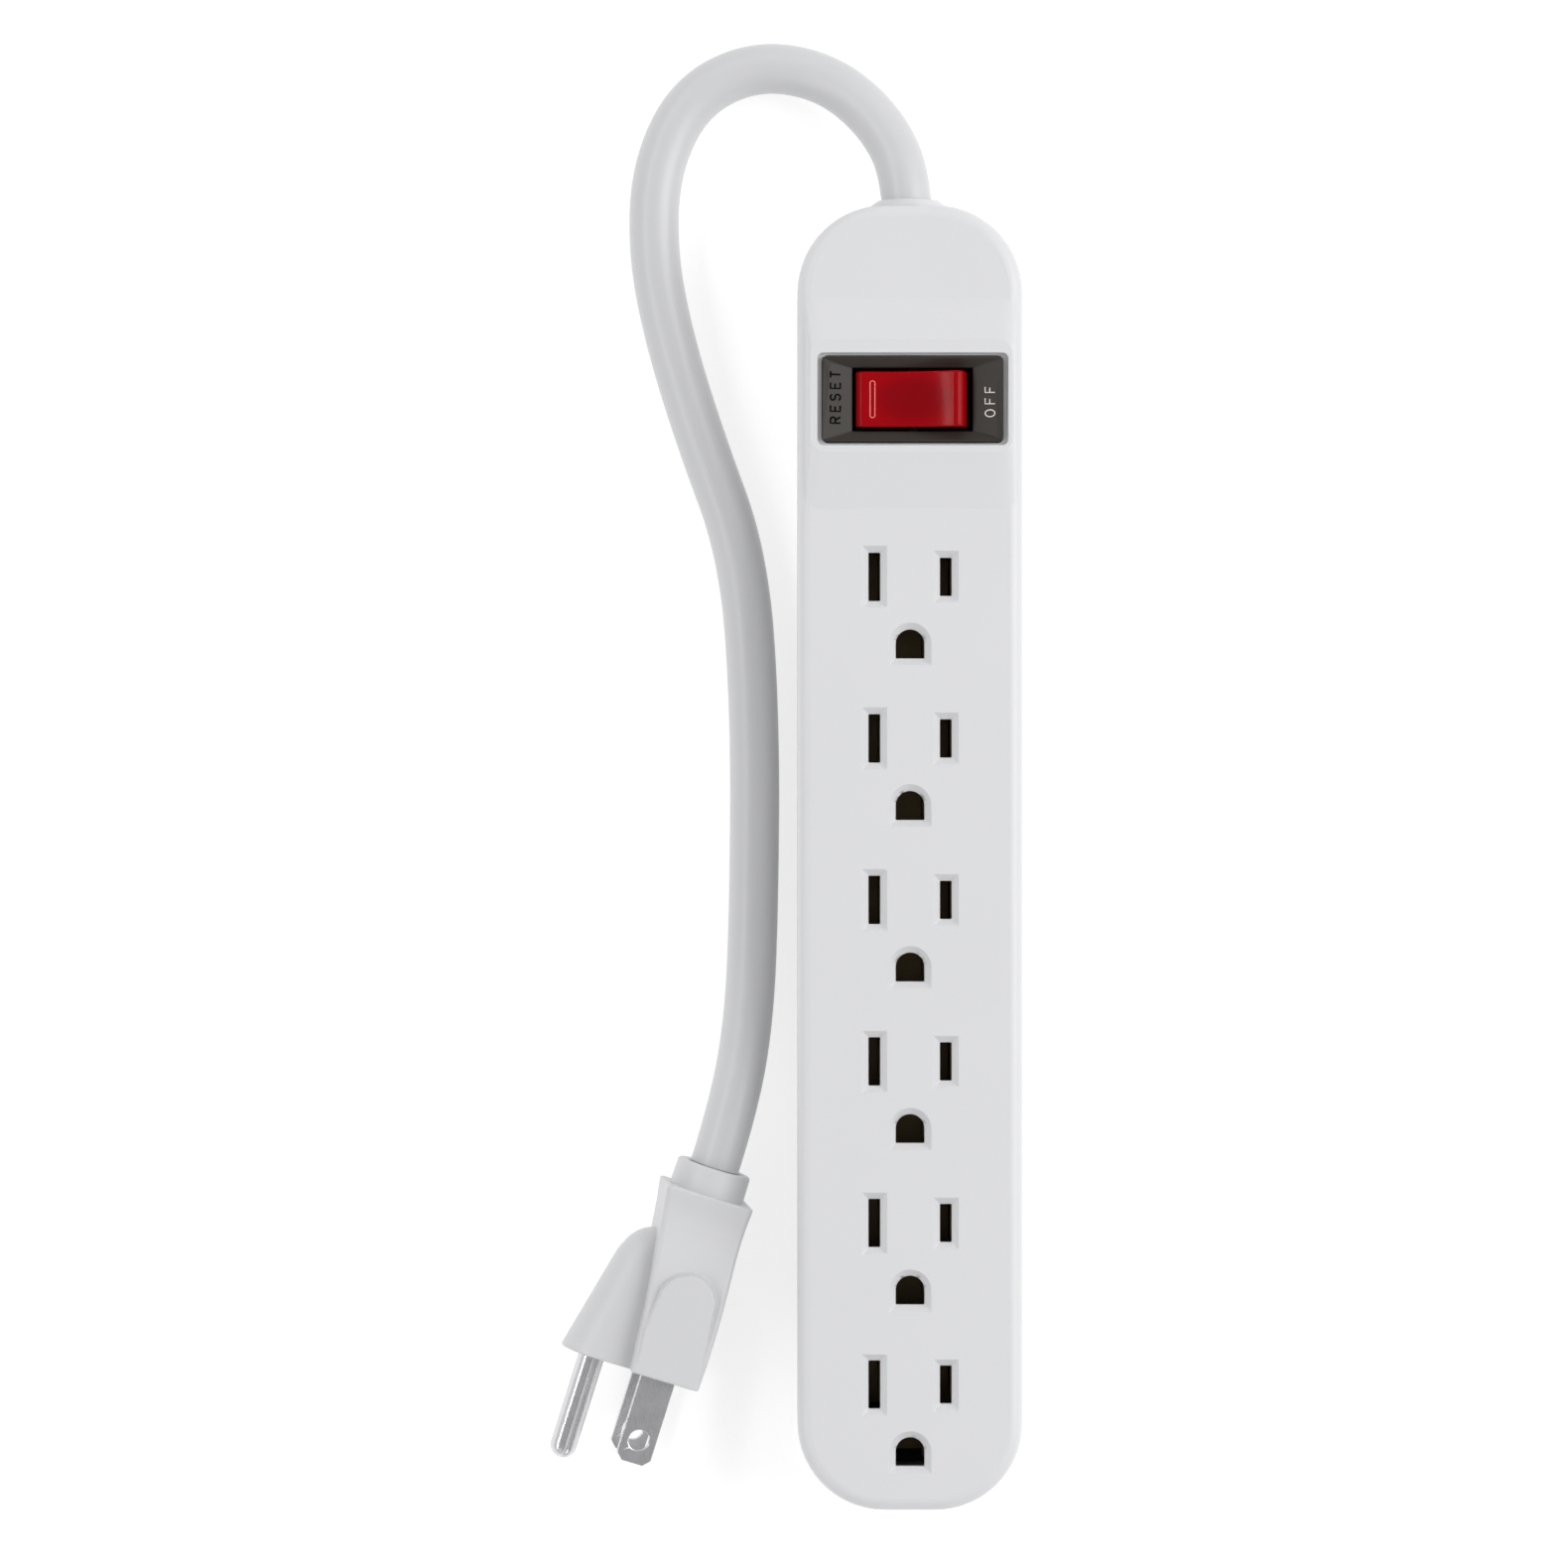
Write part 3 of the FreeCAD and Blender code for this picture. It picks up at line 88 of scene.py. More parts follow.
class Field:
    """A node's output that plain arithmetic can be written with."""

    def __init__(self, nodes, socket):
        self.nodes = nodes
        self.socket = socket

    def _math(self, operation, *terms):
        return self.nodes.node("Math", {"operation": operation}, dict(enumerate(terms)))

    def __add__(self, other):
        return self._math("ADD", self, other)

    def __sub__(self, other):
        return self._math("SUBTRACT", self, other)

    def __rsub__(self, other):
        return self._math("SUBTRACT", other, self)

    def __mul__(self, other):
        return self._math("MULTIPLY", self, other)

    def __truediv__(self, other):
        return self._math("DIVIDE", self, other)

    __radd__ = __add__
    __rmul__ = __mul__

    def smooth(self, low, high):
        """0 below low, 1 above high, and a soft step between."""
        return self.nodes.node(
            "MapRange", {"interpolation_type": "SMOOTHSTEP"},
            {"Value": self, "From Min": low, "From Max": high})


class Nodes:
    """A node tree that fields are made in."""

    def __init__(self, tree):
        self.tree = tree

    def node(self, kind, settings=None, inputs=None, output=0):
        """Makes a node of a type, sets it up, fills its sockets and gives one output."""
        made = self.tree.nodes.new("ShaderNode" + kind)
        for key, value in (settings or {}).items():
            setattr(made, key, value)
        for key, value in (inputs or {}).items():
            self.feed(made.inputs[key], value)
        return Field(self, made.outputs[output])

    def feed(self, socket, value):
        """Links a field to a socket, or sets a plain value on it."""
        if isinstance(value, Field):
            self.tree.links.new(value.socket, socket)
        else:
            socket.default_value = value

    def blend(self, factor, one, two):
        """Colour between two colours."""
        return self.node("Mix", {"data_type": "RGBA"},
                         {0: factor, 6: (*one, 1.0), 7: (*two, 1.0)}, output=2)

    def part(self, spot, axis):
        """One coordinate of a place."""
        return self.node("SeparateXYZ", inputs={0: spot}, output=axis)


class Finish(Nodes):
    """One moulded, plated or painted finish, with its shader and the nodes that vary it."""

    def __init__(self, name, colour, roughness, **constants):
        self.material = bpy.data.materials.new(name)
        self.material.use_nodes = True
        super().__init__(self.material.node_tree)
        self.shader = self.tree.nodes["Principled BSDF"]
        self.colour = colour
        self.set("Base Color", (*colour, 1.0))
        self.set("Roughness", roughness)
        for socket, value in constants.items():
            self.set(socket.replace("_", " "), value)

    def set(self, name, value):
        """Sets or links one of the shader's own sockets."""
        self.feed(self.shader.inputs[name], value)

    def place(self):
        """The object's own coordinates, in millimetres."""
        spot = self.node("TexCoord", output="Object")
        return self.node("VectorMath", {"operation": "SCALE"}, {0: spot, "Scale": 1 / MM})

    def stretched(self, spot, scale):
        """A place scaled on each axis, so that what is drawn on it turns into streaks."""
        return self.node("VectorMath", {"operation": "MULTIPLY"}, {0: spot, 1: scale})

    def noise(self, spot, grain, detail=3.0):
        """Noise with features about grain millimetres across."""
        return self.node("TexNoise", inputs={
            "Vector": spot, "Scale": 1.0 / grain, "Detail": detail})

    def shade(self, amount):
        """The finish's colour, darker or lighter by a share."""
        return tuple(min(1.0, channel * amount) for channel in self.colour)

    def bumps(self, height, strength, depth_mm):
        """Fine relief of a depth in millimetres."""
        self.set("Normal", self.node("Bump", inputs={
            "Height": height, "Strength": strength, "Distance": depth_mm * MM}))


def moulded(name, colour, roughness, grain=0.25, depth=0.012, mottle=0.025, **constants):
    """Injection-moulded plastic: spark-etched grain, slight mottling and handled patches."""
    finish = Finish(name, colour, roughness, **constants)
    spot = finish.place()
    cloud = finish.noise(spot, grain=28.0, detail=4.0)
    fine = finish.noise(spot, grain, detail=2.0)
    patches = finish.noise(finish.stretched(spot, (1.0, 0.6, 1.0)), grain=9.0, detail=5.0)
    finish.set("Base Color", finish.blend(
        cloud * 0.7 + fine * 0.3, finish.shade(1 - mottle), finish.shade(1 + mottle)))
    finish.set("Roughness", patches * 0.10 + fine * 0.06 + (roughness - 0.08))
    finish.bumps(fine + cloud * 0.3, strength=0.35, depth_mm=depth)
    return finish.material


def case_plastic():
    """White plastic of the two shells, with a very light satin grain."""
    return moulded("case_plastic", (0.65, 0.652, 0.661), 0.42, IOR=1.49)


def bezel_plastic():
    """Brown-black satin plastic of the switch frame."""
    return moulded("bezel_plastic", (0.037, 0.032, 0.028), 0.42, grain=0.18, depth=0.02,
                   mottle=0.12, IOR=1.45, Specular_IOR_Level=0.3)


def plug_plastic():
    """Softer white plastic moulded over the plug."""
    return moulded("plug_plastic", (0.59, 0.592, 0.6), 0.42, grain=0.3, depth=0.01,
                   mottle=0.02, IOR=1.48)


def slot_shade_plastic():
    """Black plastic of the parts inside the case, this dark as painted shade for the insides of
    the outlet slots.
    """
    return moulded("slot_shade_plastic", (0.02, 0.02, 0.021), 0.6, mottle=0.1)


def jacket_plastic():
    """Cord jacket: smooth, with faint draw lines and a slow change of sheen along it."""
    finish = Finish("jacket_plastic", (0.57, 0.572, 0.58), 0.33, IOR=1.5)
    spot = finish.place()
    slow = finish.noise(spot, grain=22.0)
    fine = finish.noise(spot, grain=0.35, detail=2.0)
    finish.set("Base Color", finish.blend(slow, finish.shade(0.975), finish.shade(1.02)))
    finish.set("Roughness", slow * 0.1 + fine * 0.05 + 0.29)
    finish.bumps(fine * 0.4 + slow * 0.6, strength=0.25, depth_mm=0.02)
    return finish.material


def rocker_plastic():
    """Glossy red plastic with painted shade: coloured darker red over the middle and lighter
    toward the edges.
    """
    finish = Finish("rocker_plastic", (0.27, 0.002, 0.006), 0.16, IOR=1.4,
                    Specular_IOR_Level=0.13)
    spot = finish.place()
    across = finish.part(spot, "X") - ROCKER_PIVOT.x / MM
    along = finish.part(spot, "Y") - SWITCH_Y / MM
    # Painted shade: an oval over the middle of the rocker, this wide and this tall, is coloured
    # darker than the lit-looking edges.
    shade_wide, shade_tall = 60.0, 22.0
    spread = (across * across) / shade_wide + (along * along) / shade_tall
    middle_shade = 1 - spread.smooth(0.15, 1.15)
    fine = finish.noise(spot, grain=0.5)
    lit_edge_red, shaded_red = (0.3, 0.001, 0.004), (0.22, 0.001, 0.004)
    finish.set("Base Color", finish.blend(middle_shade, lit_edge_red, shaded_red))
    finish.set("Roughness", fine * 0.06 + 0.12)
    finish.bumps(fine, strength=0.12, depth_mm=0.01)
    return finish.material


def plated(name, colour, roughness, way=(1.0, 0.05, 1.0), grain=0.12):
    """Plated or drawn metal with fine lines along one direction and dull patches."""
    finish = Finish(name, colour, roughness, Metallic=1.0)
    spot = finish.place()
    lines = finish.noise(finish.stretched(spot, way), grain, detail=2.0)
    dull = finish.noise(spot, grain=3.0, detail=4.0)
    finish.set("Base Color", finish.blend(
        dull * 0.6 + lines * 0.4, finish.shade(0.92), finish.shade(1.04)))
    finish.set("Roughness", lines * 0.14 + dull * 0.07 + (roughness - 0.13))
    finish.bumps(lines, strength=0.14, depth_mm=0.004)
    return finish.material


def pin_nickel():
    """Bright nickel plate on the plug's blades and ground pin."""
    return plated("pin_nickel", (0.69, 0.69, 0.7), 0.31, way=(1.0, 0.06, 1.0))


def contact_brass():
    """Dull brass of the contact strips, the terminals and the plunger."""
    return plated("contact_brass", (0.24, 0.18, 0.1), 0.45)


def screw_steel():
    """Plated steel of the screws, the spring and the small contact pieces."""
    return plated("screw_steel", (0.5, 0.5, 0.51), 0.4, way=(1.0, 1.0, 0.1), grain=0.2)


def wire_plastic(name, colour):
    """Insulation of one wire, in its own colour."""
    return moulded(name, colour, 0.35, grain=0.3, depth=0.006, mottle=0.06)


def lamp_glass():
    """Warm glass of the small lamp behind the rocker."""
    finish = Finish("lamp_glass", (0.95, 0.7, 0.45), 0.08, IOR=1.5, Transmission_Weight=0.8)
    finish.bumps(finish.noise(finish.place(), grain=1.0), strength=0.1, depth_mm=0.01)
    return finish.material


def legend_paint(name, colour, roughness, **constants):
    """Printed ink, a little uneven; the pale pink outline on the rocker's ON bar also uses it,
    as a painted highlight.
    """
    finish = Finish(name, colour, roughness, **constants)
    speck = finish.noise(finish.place(), grain=0.15, detail=2.0)
    finish.set("Base Color", finish.blend(speck, finish.shade(0.85), finish.shade(1.1)))
    finish.bumps(speck, strength=0.2, depth_mm=0.004)
    return finish.material


def floor_paper():
    """Seamless white paper that glows a little, so that shadows on it stay faint."""
    finish = Finish("floor_paper", (0.5, 0.5, 0.5), 0.95, Specular_IOR_Level=0.1)
    fibre = finish.noise(finish.place(), grain=0.6, detail=4.0)
    finish.set("Base Color", finish.blend(fibre, (0.48, 0.48, 0.48), (0.52, 0.52, 0.52)))
    finish.set("Emission Color", (1.0, 1.0, 1.0, 1.0))
    finish.set("Emission Strength", 0.62)
    finish.bumps(fibre, strength=0.05, depth_mm=0.01)
    return finish.material


# ------------------------------------------------------------------ making pieces

def keep_piece(name, mesh, finish, body=BODY):
    """Puts a mesh or curve in the scene as a piece of the object."""
    piece = bpy.data.objects.new(name, mesh)
    bpy.context.scene.collection.objects.link(piece)
    mesh.materials.append(finish)
    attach(piece, body)
    return piece


def closed_loft(bm, rings):
    """Skin over rings of points, each ring closed on itself, with flat ends."""
    loops = [[bm.verts.new(point) for point in ring] for ring in rings]
    count = len(loops[0])
    for one, two in zip(loops, loops[1:]):
        for index in range(count):
            after = (index + 1) % count
            bm.faces.new((one[index], one[after], two[after], two[index]))
    bm.faces.new(list(reversed(loops[0])))
    bm.faces.new(loops[-1])


def finish_mesh(bm, name, place):
    """Turns worked geometry into a smooth-shaded mesh at its place."""
    bmesh.ops.recalc_face_normals(bm, faces=bm.faces)
    bm.transform(place)
    mesh = bpy.data.meshes.new(name)
    bm.to_mesh(mesh)
    bm.free()
    for face in mesh.polygons:
        face.use_smooth = True
    return mesh


def sharpen(piece, degrees):
    """Keeps edges that turn more than an angle crisp and shades the rest smooth."""
    split = piece.modifiers.new("crisp", "EDGE_SPLIT")
    split.split_angle = math.radians(degrees)


def between(table, at):
    """Value on the straight lines between the stations of a profile."""
    if at <= table[0][0]:
        return table[0][1]
    for (low, one), (high, two) in zip(table, table[1:]):
        if at <= high:
            share = (at - low) / (high - low)
            return one + (two - one) * share
    return table[-1][1]


def eased(table, at, reach=1.6):
    """The same with its corners rounded off over a reach either side."""
    samples = (-1.0, -0.5, 0.0, 0.5, 1.0)
    return sum(between(table, at + step * reach) for step in samples) / len(samples)


def soft_step(value):
    """0 below 0, 1 above 1, and a soft step between."""
    value = max(0.0, min(1.0, value))
    return value * value * (3 - 2 * value)


def lathe(stations, sides=96):
    """Rings about the local Y axis from (distance along, radius) stations."""
    rings = []
    for along, radius in stations:
        ring = []
        for step in range(sides):
            angle = 2 * math.pi * step / sides
            ring.append(Vector((radius * math.cos(angle), along, radius * math.sin(angle))))
        rings.append(ring)
    return rings


# ------------------------------------------------------------------ cord

CORD_ROUTE = [
    (0.0, 0.110, 0.013), (0.0, 0.122, 0.013), (-0.0049, 0.1328, 0.0105),
    (-0.0145, 0.1414, 0.007), (-0.0275, 0.1439, 0.0049), (-0.0393, 0.1382, 0.0046),
    (-0.0456, 0.1255, 0.0046), (-0.0463, 0.110, 0.0046), (-0.0434, 0.0945, 0.0046),
    (-0.0377, 0.076, 0.0046), (-0.0297, 0.0545, 0.0046), (-0.0276, 0.025, 0.0046),
    (-0.0279, -0.012, 0.0047), (-0.0289, -0.031, 0.007),
]


def cord_points():
    """The route's points, the last two in line with the plug's collar."""
    ahead = PLUG @ Vector((PLUG_CORD_X, COLLAR_END + CORD_LAST_RUN, 0))
    end = PLUG @ Vector((PLUG_CORD_X, COLLAR_END, 0))
    return [Vector(point) for point in CORD_ROUTE] + [ahead, end]


def make_cord(finish):
    """Free cord from the bushing to the plug, as one smooth curve."""
    curve = bpy.data.curves.new("power_cord_line", "CURVE")
    curve.dimensions = "3D"
    points = cord_points()
    spline = curve.splines.new("NURBS")
    spline.points.add(len(points) - 1)
    for point, place in zip(spline.points, points):
        point.co = (*place, 1.0)
    spline.order_u = 3
    spline.use_endpoint_u = True
    spline.resolution_u = 24
    curve.bevel_depth = CORD_DIAMETER / 2
    curve.bevel_resolution = 12
    curve.use_fill_caps = True
    piece = keep_piece("cord_jacket", curve, finish)
    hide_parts("power_cord")


# ------------------------------------------------------------------ plug

# Profiles of the plug, as (distance from the blades' face, size) in millimetres.
TRUNK_LEFT = [(0, -5.5), (12.7, -6.4), (25, -7.8), (30, -8.4), (33.8, -9.0)]
TRUNK_RIGHT = [(0, 7.2), (6, 7.45), (12.7, 7.45), (25, 6.95), (30, 7.0), (33.8, 7.2)]
TRUNK_HALF = [(0, 10.35), (6, 9.9), (13, 9.35), (20, 8.7), (26, 7.75), (29.5, 7.45),
              (32, 7.75), (33.8, 8.1)]
ARCH_LEVEL = 10.4
ARCH_RADIUS = 5.15
ARCH_CENTRE = (0.4, 14.6)
ARCH_FLARE = 1.3
ARCH_EDGE = 0.45


def arch_mask(across, along):
    """1 on the raised thumb pad of the plug's trunk, 0 around it."""
    centre_x, centre_y = ARCH_CENTRE
    if along > centre_y:
        inside = ARCH_RADIUS - math.hypot(across - centre_x, along - centre_y)
    else:
        spread = (centre_y - along) / centre_y
        inside = ARCH_RADIUS + ARCH_FLARE * spread - abs(across - centre_x)
    return soft_step(inside / ARCH_EDGE + 0.5)


def trunk_ring(along, shrink=0.0):
    """Cross-section of the trunk at a distance from the blades' face, in millimetres."""
    left = eased(TRUNK_LEFT, along) + shrink
    right = eased(TRUNK_RIGHT, along) - shrink
    half = eased(TRUNK_HALF, along, 1.2) - shrink
    corner = 0.9
    flat_points = 72
    side_points = 10
    arc_points = 5
    outline = []
    for step in range(flat_points + 1):
        across = left + corner + (right - left - 2 * corner) * step / flat_points
        lift = (ARCH_LEVEL - shrink - half) * arch_mask(across, along)
        outline.append((across, half + max(0.0, lift)))
    for step in range(1, arc_points):
        angle = math.pi / 2 * (1 - step / arc_points)
        outline.append((right - corner + corner * math.cos(angle),
                        half - corner + corner * math.sin(angle)))
    for step in range(side_points):
        share = step / side_points
        outline.append((right, (half - corner) * (1 - share)))
    for step in range(side_points):
        share = step / side_points
        outline.append((right, -(half - corner) * share))
    upper = outline[:flat_points + arc_points]
    for across, up in reversed(upper):
        outline.append((across, -up))
    for step in range(1, arc_points):
        angle = math.pi / 2 * (1 - step / arc_points) + math.pi
        outline.append((left + corner + corner * math.cos(angle),
                        -(half - corner) + corner * math.sin(angle)))
    for step in range(2 * side_points):
        share = step / (2 * side_points)
        outline.append((left, -(half - corner) + 2 * (half - corner) * share))
    for step in range(arc_points):
        angle = math.pi - math.pi / 2 * step / arc_points
        outline.append((left + corner + corner * math.cos(angle),
                        half - corner + corner * math.sin(angle)))
    return [Vector((across, along, up)) for across, up in outline]


LOBE_REACH = [(0, -17.8), (19.5, -13.2), (22.5, -11.8), (24.2, -10.2), (25.3, -8.2),
              (25.9, -5.2)]
LOBE_HALF = [(0, 6.4), (16, 5.7), (21, 4.9), (24, 3.6), (25.2, 2.4), (25.9, 0.6)]


def lobe_ring(along, shrink=0.0):
    """Cross-section of the ground lobe: round on its outer side, buried in the trunk."""
    outer = eased(LOBE_REACH, along, 0.8) + shrink
    half = eased(LOBE_HALF, along, 0.8) - shrink
    centre = outer + half
    inner, arc_points, side_points = -2.0, 32, 12
    ring = []
    for step in range(arc_points + 1):
        angle = math.pi / 2 + math.pi * step / arc_points
        ring.append(Vector((centre + half * math.cos(angle), along, half * math.sin(angle))))
    sides = [centre + (inner - centre) * step / side_points
             for step in range(1, side_points + 1)]
    ring += [Vector((across, along, -half)) for across in sides]
    ring += [Vector((across, along, half)) for across in reversed(sides)]
    return ring


def rounded_run(start, stop, count, edge):
    """Stations along a length that draw in by an edge rounding at both ends."""
    turns = (0.0, 0.4, 0.8, 1.2)
    runs = [(start + edge * (1 - math.cos(angle)), edge * (1 - math.sin(angle)))
            for angle in turns]
    for step in range(count + 1):
        runs.append((start + edge + (stop - start - 2 * edge) * step / count, 0.0))
    runs += [(stop - edge * (1 - math.cos(angle)), edge * (1 - math.sin(angle)))
             for angle in reversed(turns)]
    return runs


def make_plug(finish):
    """Moulded plug: trunk with its thumb pads and the ground lobe, joined as one."""
    place = PLUG @ Matrix.Scale(MM, 4)
    lobe_length, edge = 25.6, 0.35
    trunk_runs = rounded_run(0, PLUG_LENGTH / MM, 150, edge)
    lobe_runs = rounded_run(0, lobe_length, 90, edge)
    bm = bmesh.new()
    closed_loft(bm, [trunk_ring(along, draw) for along, draw in trunk_runs])
    trunk = keep_piece("plug_moulding", finish_mesh(bm, "plug_trunk", place), finish)
    bm = bmesh.new()
    closed_loft(bm, [lobe_ring(along, draw) for along, draw in lobe_runs])
    lobe_mesh = finish_mesh(bm, "plug_lobe", place)
    lobe = bpy.data.objects.new("lobe_cutter", lobe_mesh)
    bpy.context.scene.collection.objects.link(lobe)
    join_solids(trunk, lobe)
    sharpen(trunk, 38)
    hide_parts("plug_body")
    return trunk


def join_solids(piece, other):
    """Unites another closed mesh with a piece and drops the other."""
    union = piece.modifiers.new("union", "BOOLEAN")
    union.operation = "UNION"
    union.solver = "EXACT"
    union.object = other
    made = bpy.data.meshes.new_from_object(
        piece.evaluated_get(bpy.context.evaluated_depsgraph_get()))
    old = piece.data
    piece.modifiers.remove(union)
    piece.data = made
    made.name = old.name + "_joined"
    for face in made.polygons:
        face.use_smooth = True
    bpy.data.objects.remove(other)


def make_collar(finish):
    """Strain-relief collar: a short turned ring with a soft inner lip round the cord."""
    cord = CORD_DIAMETER / 2 / MM
    sunk, foot_radius, end_radius, edge = 0.4, 6.85, 6.78, 0.6
    start, stop = PLUG_LENGTH / MM - sunk, COLLAR_END / MM
    stations = [(start, foot_radius), (stop - edge, end_radius)]
    stations += [(stop - edge + edge * math.sin(angle),
                  end_radius - edge + edge * math.cos(angle))
                 for angle in (0.4, 0.8, 1.2, math.pi / 2)]
    stations += [(stop - 0.02, 5.5), (stop - 0.25, cord + 0.35), (stop - 0.9, cord + 0.02)]
    bm = bmesh.new()
    closed_loft(bm, lathe(stations))
    place = PLUG @ Matrix.Translation((PLUG_CORD_X, 0, 0)) @ Matrix.Scale(MM, 4)
    piece = keep_piece("plug_collar_ring", finish_mesh(bm, "plug_collar_ring", place), finish)
    sharpen(piece, 38)
    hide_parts("plug_collar")
    return piece


def make_ground_pin(finish):
    """Ground pin rolled from strip: a seam runs down it and parts its rounded tip."""
    radius, length, pin_x, root, tip = 2.38, 19.5, -11.9, 1.0, 2.4
    seam_at, seam_wide, seam_deep, seam_open = math.radians(72), 0.17, 0.42, 0.5
    flat_at, flat_wide, flat_deep = 0.55, 0.25, 0.10
    sides = 120
    rings = []
    stations = [(root, 0.0)]
    stations += [(-length + tip - 0.25 * step, 0.0) for step in range(-60, 1)]
    stations += [(-length + tip - tip * math.sin(angle), 1 - math.cos(angle))
                 for angle in (0.2, 0.4, 0.6, 0.8, 1.0, 1.15, 1.3, 1.42)]
    stations = sorted(set(stations), reverse=True)
    for along, nose in stations:
        ring = []
        for step in range(sides):
            angle = 2 * math.pi * step / sides
            turn = math.atan2(math.sin(angle - seam_at), math.cos(angle - seam_at))
            seam = math.exp(-(turn / seam_wide) ** 2) * (seam_deep + seam_open * nose)
            flat = flat_deep * math.exp(-((turn - flat_at) / flat_wide) ** 2)
            reach = radius * (1 - nose * 0.98) - seam * (1 - nose * 0.6) - flat * (1 - nose)
            ring.append(Vector((pin_x + reach * math.cos(angle), along,
                                reach * math.sin(angle))))
        rings.append(ring)
    bm = bmesh.new()
    closed_loft(bm, rings)
    piece = keep_piece("ground_pin_rolled", finish_mesh(
        bm, "ground_pin_rolled", PLUG @ Matrix.Scale(MM, 4)), finish)
    sharpen(piece, 40)
    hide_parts("plug_ground_pin")
    return piece


# ------------------------------------------------------------------ rocker and bezel

ROCKER = Matrix.Translation(ROCKER_PIVOT) @ Matrix.Rotation(ROCKER_TILT, 4, "Y")
DISH_LOW, DISH_RISE, DISH_HALF = 4.2, 1.4, 9.1


def rocker_top(across):
    """Height of the rocker's dished top above its pivot."""
    return DISH_LOW + DISH_RISE * (across / DISH_HALF) ** 2


def rocker_outline():
    """Side outline of the rocker, from the middle over the crest and round the tail."""
    dish_end, dish_steps = 7.9, 34
    crest_round, crest_start, crest_turn, crest_steps = 1.4, 105, 96, 12
    right = [(dish_end * step / dish_steps, rocker_top(dish_end * step / dish_steps))
             for step in range(dish_steps + 1)]
    centre_x = dish_end - crest_round * math.cos(math.radians(crest_start))
    centre_z = rocker_top(dish_end) - crest_round * math.sin(math.radians(crest_start))
    for step in range(1, crest_steps + 1):
        angle = math.radians(crest_start - crest_turn * step / crest_steps)
        right.append((centre_x + crest_round * math.cos(angle),
                      centre_z + crest_round * math.sin(angle)))
    right += [(9.82, 1.2), (9.85, 0.7), (9.6, 0.2), (9.1, -0.85), (3.2, -1.5), (2.2, -6.0)]
    left = [(-across, up) for across, up in reversed(right[1:])]
    return right + left


def make_rocker(finish, mark_finish):
    """Rocker drawn between its two sides, with a small round along every side edge."""
    outline = rocker_outline()
    half, half_long, edge, steps = 4.93, 10, 0.3, 4
    rings = []
    for side in (-1, 1):
        stations = range(steps + 1) if side < 0 else range(steps, -1, -1)
        for step in stations:
            angle = math.pi / 2 * step / steps
            draw = edge * (1 - math.sin(angle))
            along = side * (half - edge * (1 - math.cos(angle)))
            rings.append([Vector((across * (1 - draw / half_long), along, up - draw))
                          for across, up in outline])
    bm = bmesh.new()
    closed_loft(bm, rings)
    piece = keep_piece("rocker_cap", finish_mesh(bm, "rocker_cap", ROCKER @ Matrix.Scale(MM, 4)),
                       finish, "rocker")
    sharpen(piece, 32)
    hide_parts("rocker")
    make_on_mark(mark_finish)


def stroke_piece(name, strokes, place, thickness, finish, body=BODY, closed=False):
    """Raised line work made of rounded strokes, each a list of points in millimetres."""
    curve = bpy.data.curves.new(name, "CURVE")
    curve.dimensions = "3D"
    for points in strokes:
        spline = curve.splines.new("POLY")
        spline.points.add(len(points) - 1)
        for point, spot in zip(spline.points, points):
            point.co = (*(place @ Vector(spot)), 1.0)
        spline.use_cyclic_u = closed
    curve.bevel_depth = thickness / 2 * MM
    curve.bevel_resolution = 3
    curve.use_fill_caps = True
    keep_piece(name, curve, finish, body)


def make_on_mark(finish):
    """Raised outline of a bar on the rocker's ON end, coloured pale pink as a painted highlight
    along its edge.
    """
    middle, half_long, half_wide, line_wide, sides = -6.55, 2.85, 0.42, 0.2, 32
    ring = []
    for step in range(sides):
        angle = 2 * math.pi * step / sides
        across = middle + half_wide * math.cos(angle)
        along = math.copysign(half_long, math.sin(angle)) + half_wide * math.sin(angle)
        ring.append((across, along, rocker_top(across)))
    stroke_piece("on_mark", [ring], ROCKER @ Matrix.Scale(MM, 4), line_wide, finish,
                 "rocker", closed=True)


def bowl(centre_x, centre_y, wide, tall, first, last):
    """Points on an upright oval between two angles in degrees."""
    points = []
    steps = 12
    for step in range(steps + 1):
        angle = math.radians(first + (last - first) * step / steps)
        points.append((centre_x + wide * math.cos(angle), centre_y + tall * math.sin(angle)))
    return points


# Plain stroke letters: the width each takes, and its strokes, in millimetres.
LETTERS = {
    "O": (1.55, [bowl(0.72, 1.0, 0.62, 0.9, 0, 360)]),
    "F": (1.30, [[(0.15, 0.1), (0.15, 1.9), (1.15, 1.9)], [(0.15, 1.05), (1.0, 1.05)]]),
    "E": (1.35, [[(1.15, 0.1), (0.15, 0.1), (0.15, 1.9), (1.15, 1.9)],
                 [(0.15, 1.05), (1.0, 1.05)]]),
    "T": (1.35, [[(0.62, 0.1), (0.62, 1.9)], [(0.05, 1.9), (1.2, 1.9)]]),
    "R": (1.45, [[(0.15, 0.1), (0.15, 1.9), (0.75, 1.9)] + bowl(0.75, 1.45, 0.45, 0.45, 90, -90)
                 + [(0.15, 1.0)], [(0.7, 1.0), (1.22, 0.1)]]),
    "S": (1.40, [[(0.12, 0.35), (0.4, 0.12)] + bowl(0.68, 0.57, 0.46, 0.47, -80, 80)
                 + bowl(0.6, 1.47, 0.45, 0.43, 260, 100) + [(0.85, 1.88), (1.1, 1.65)]]),
}


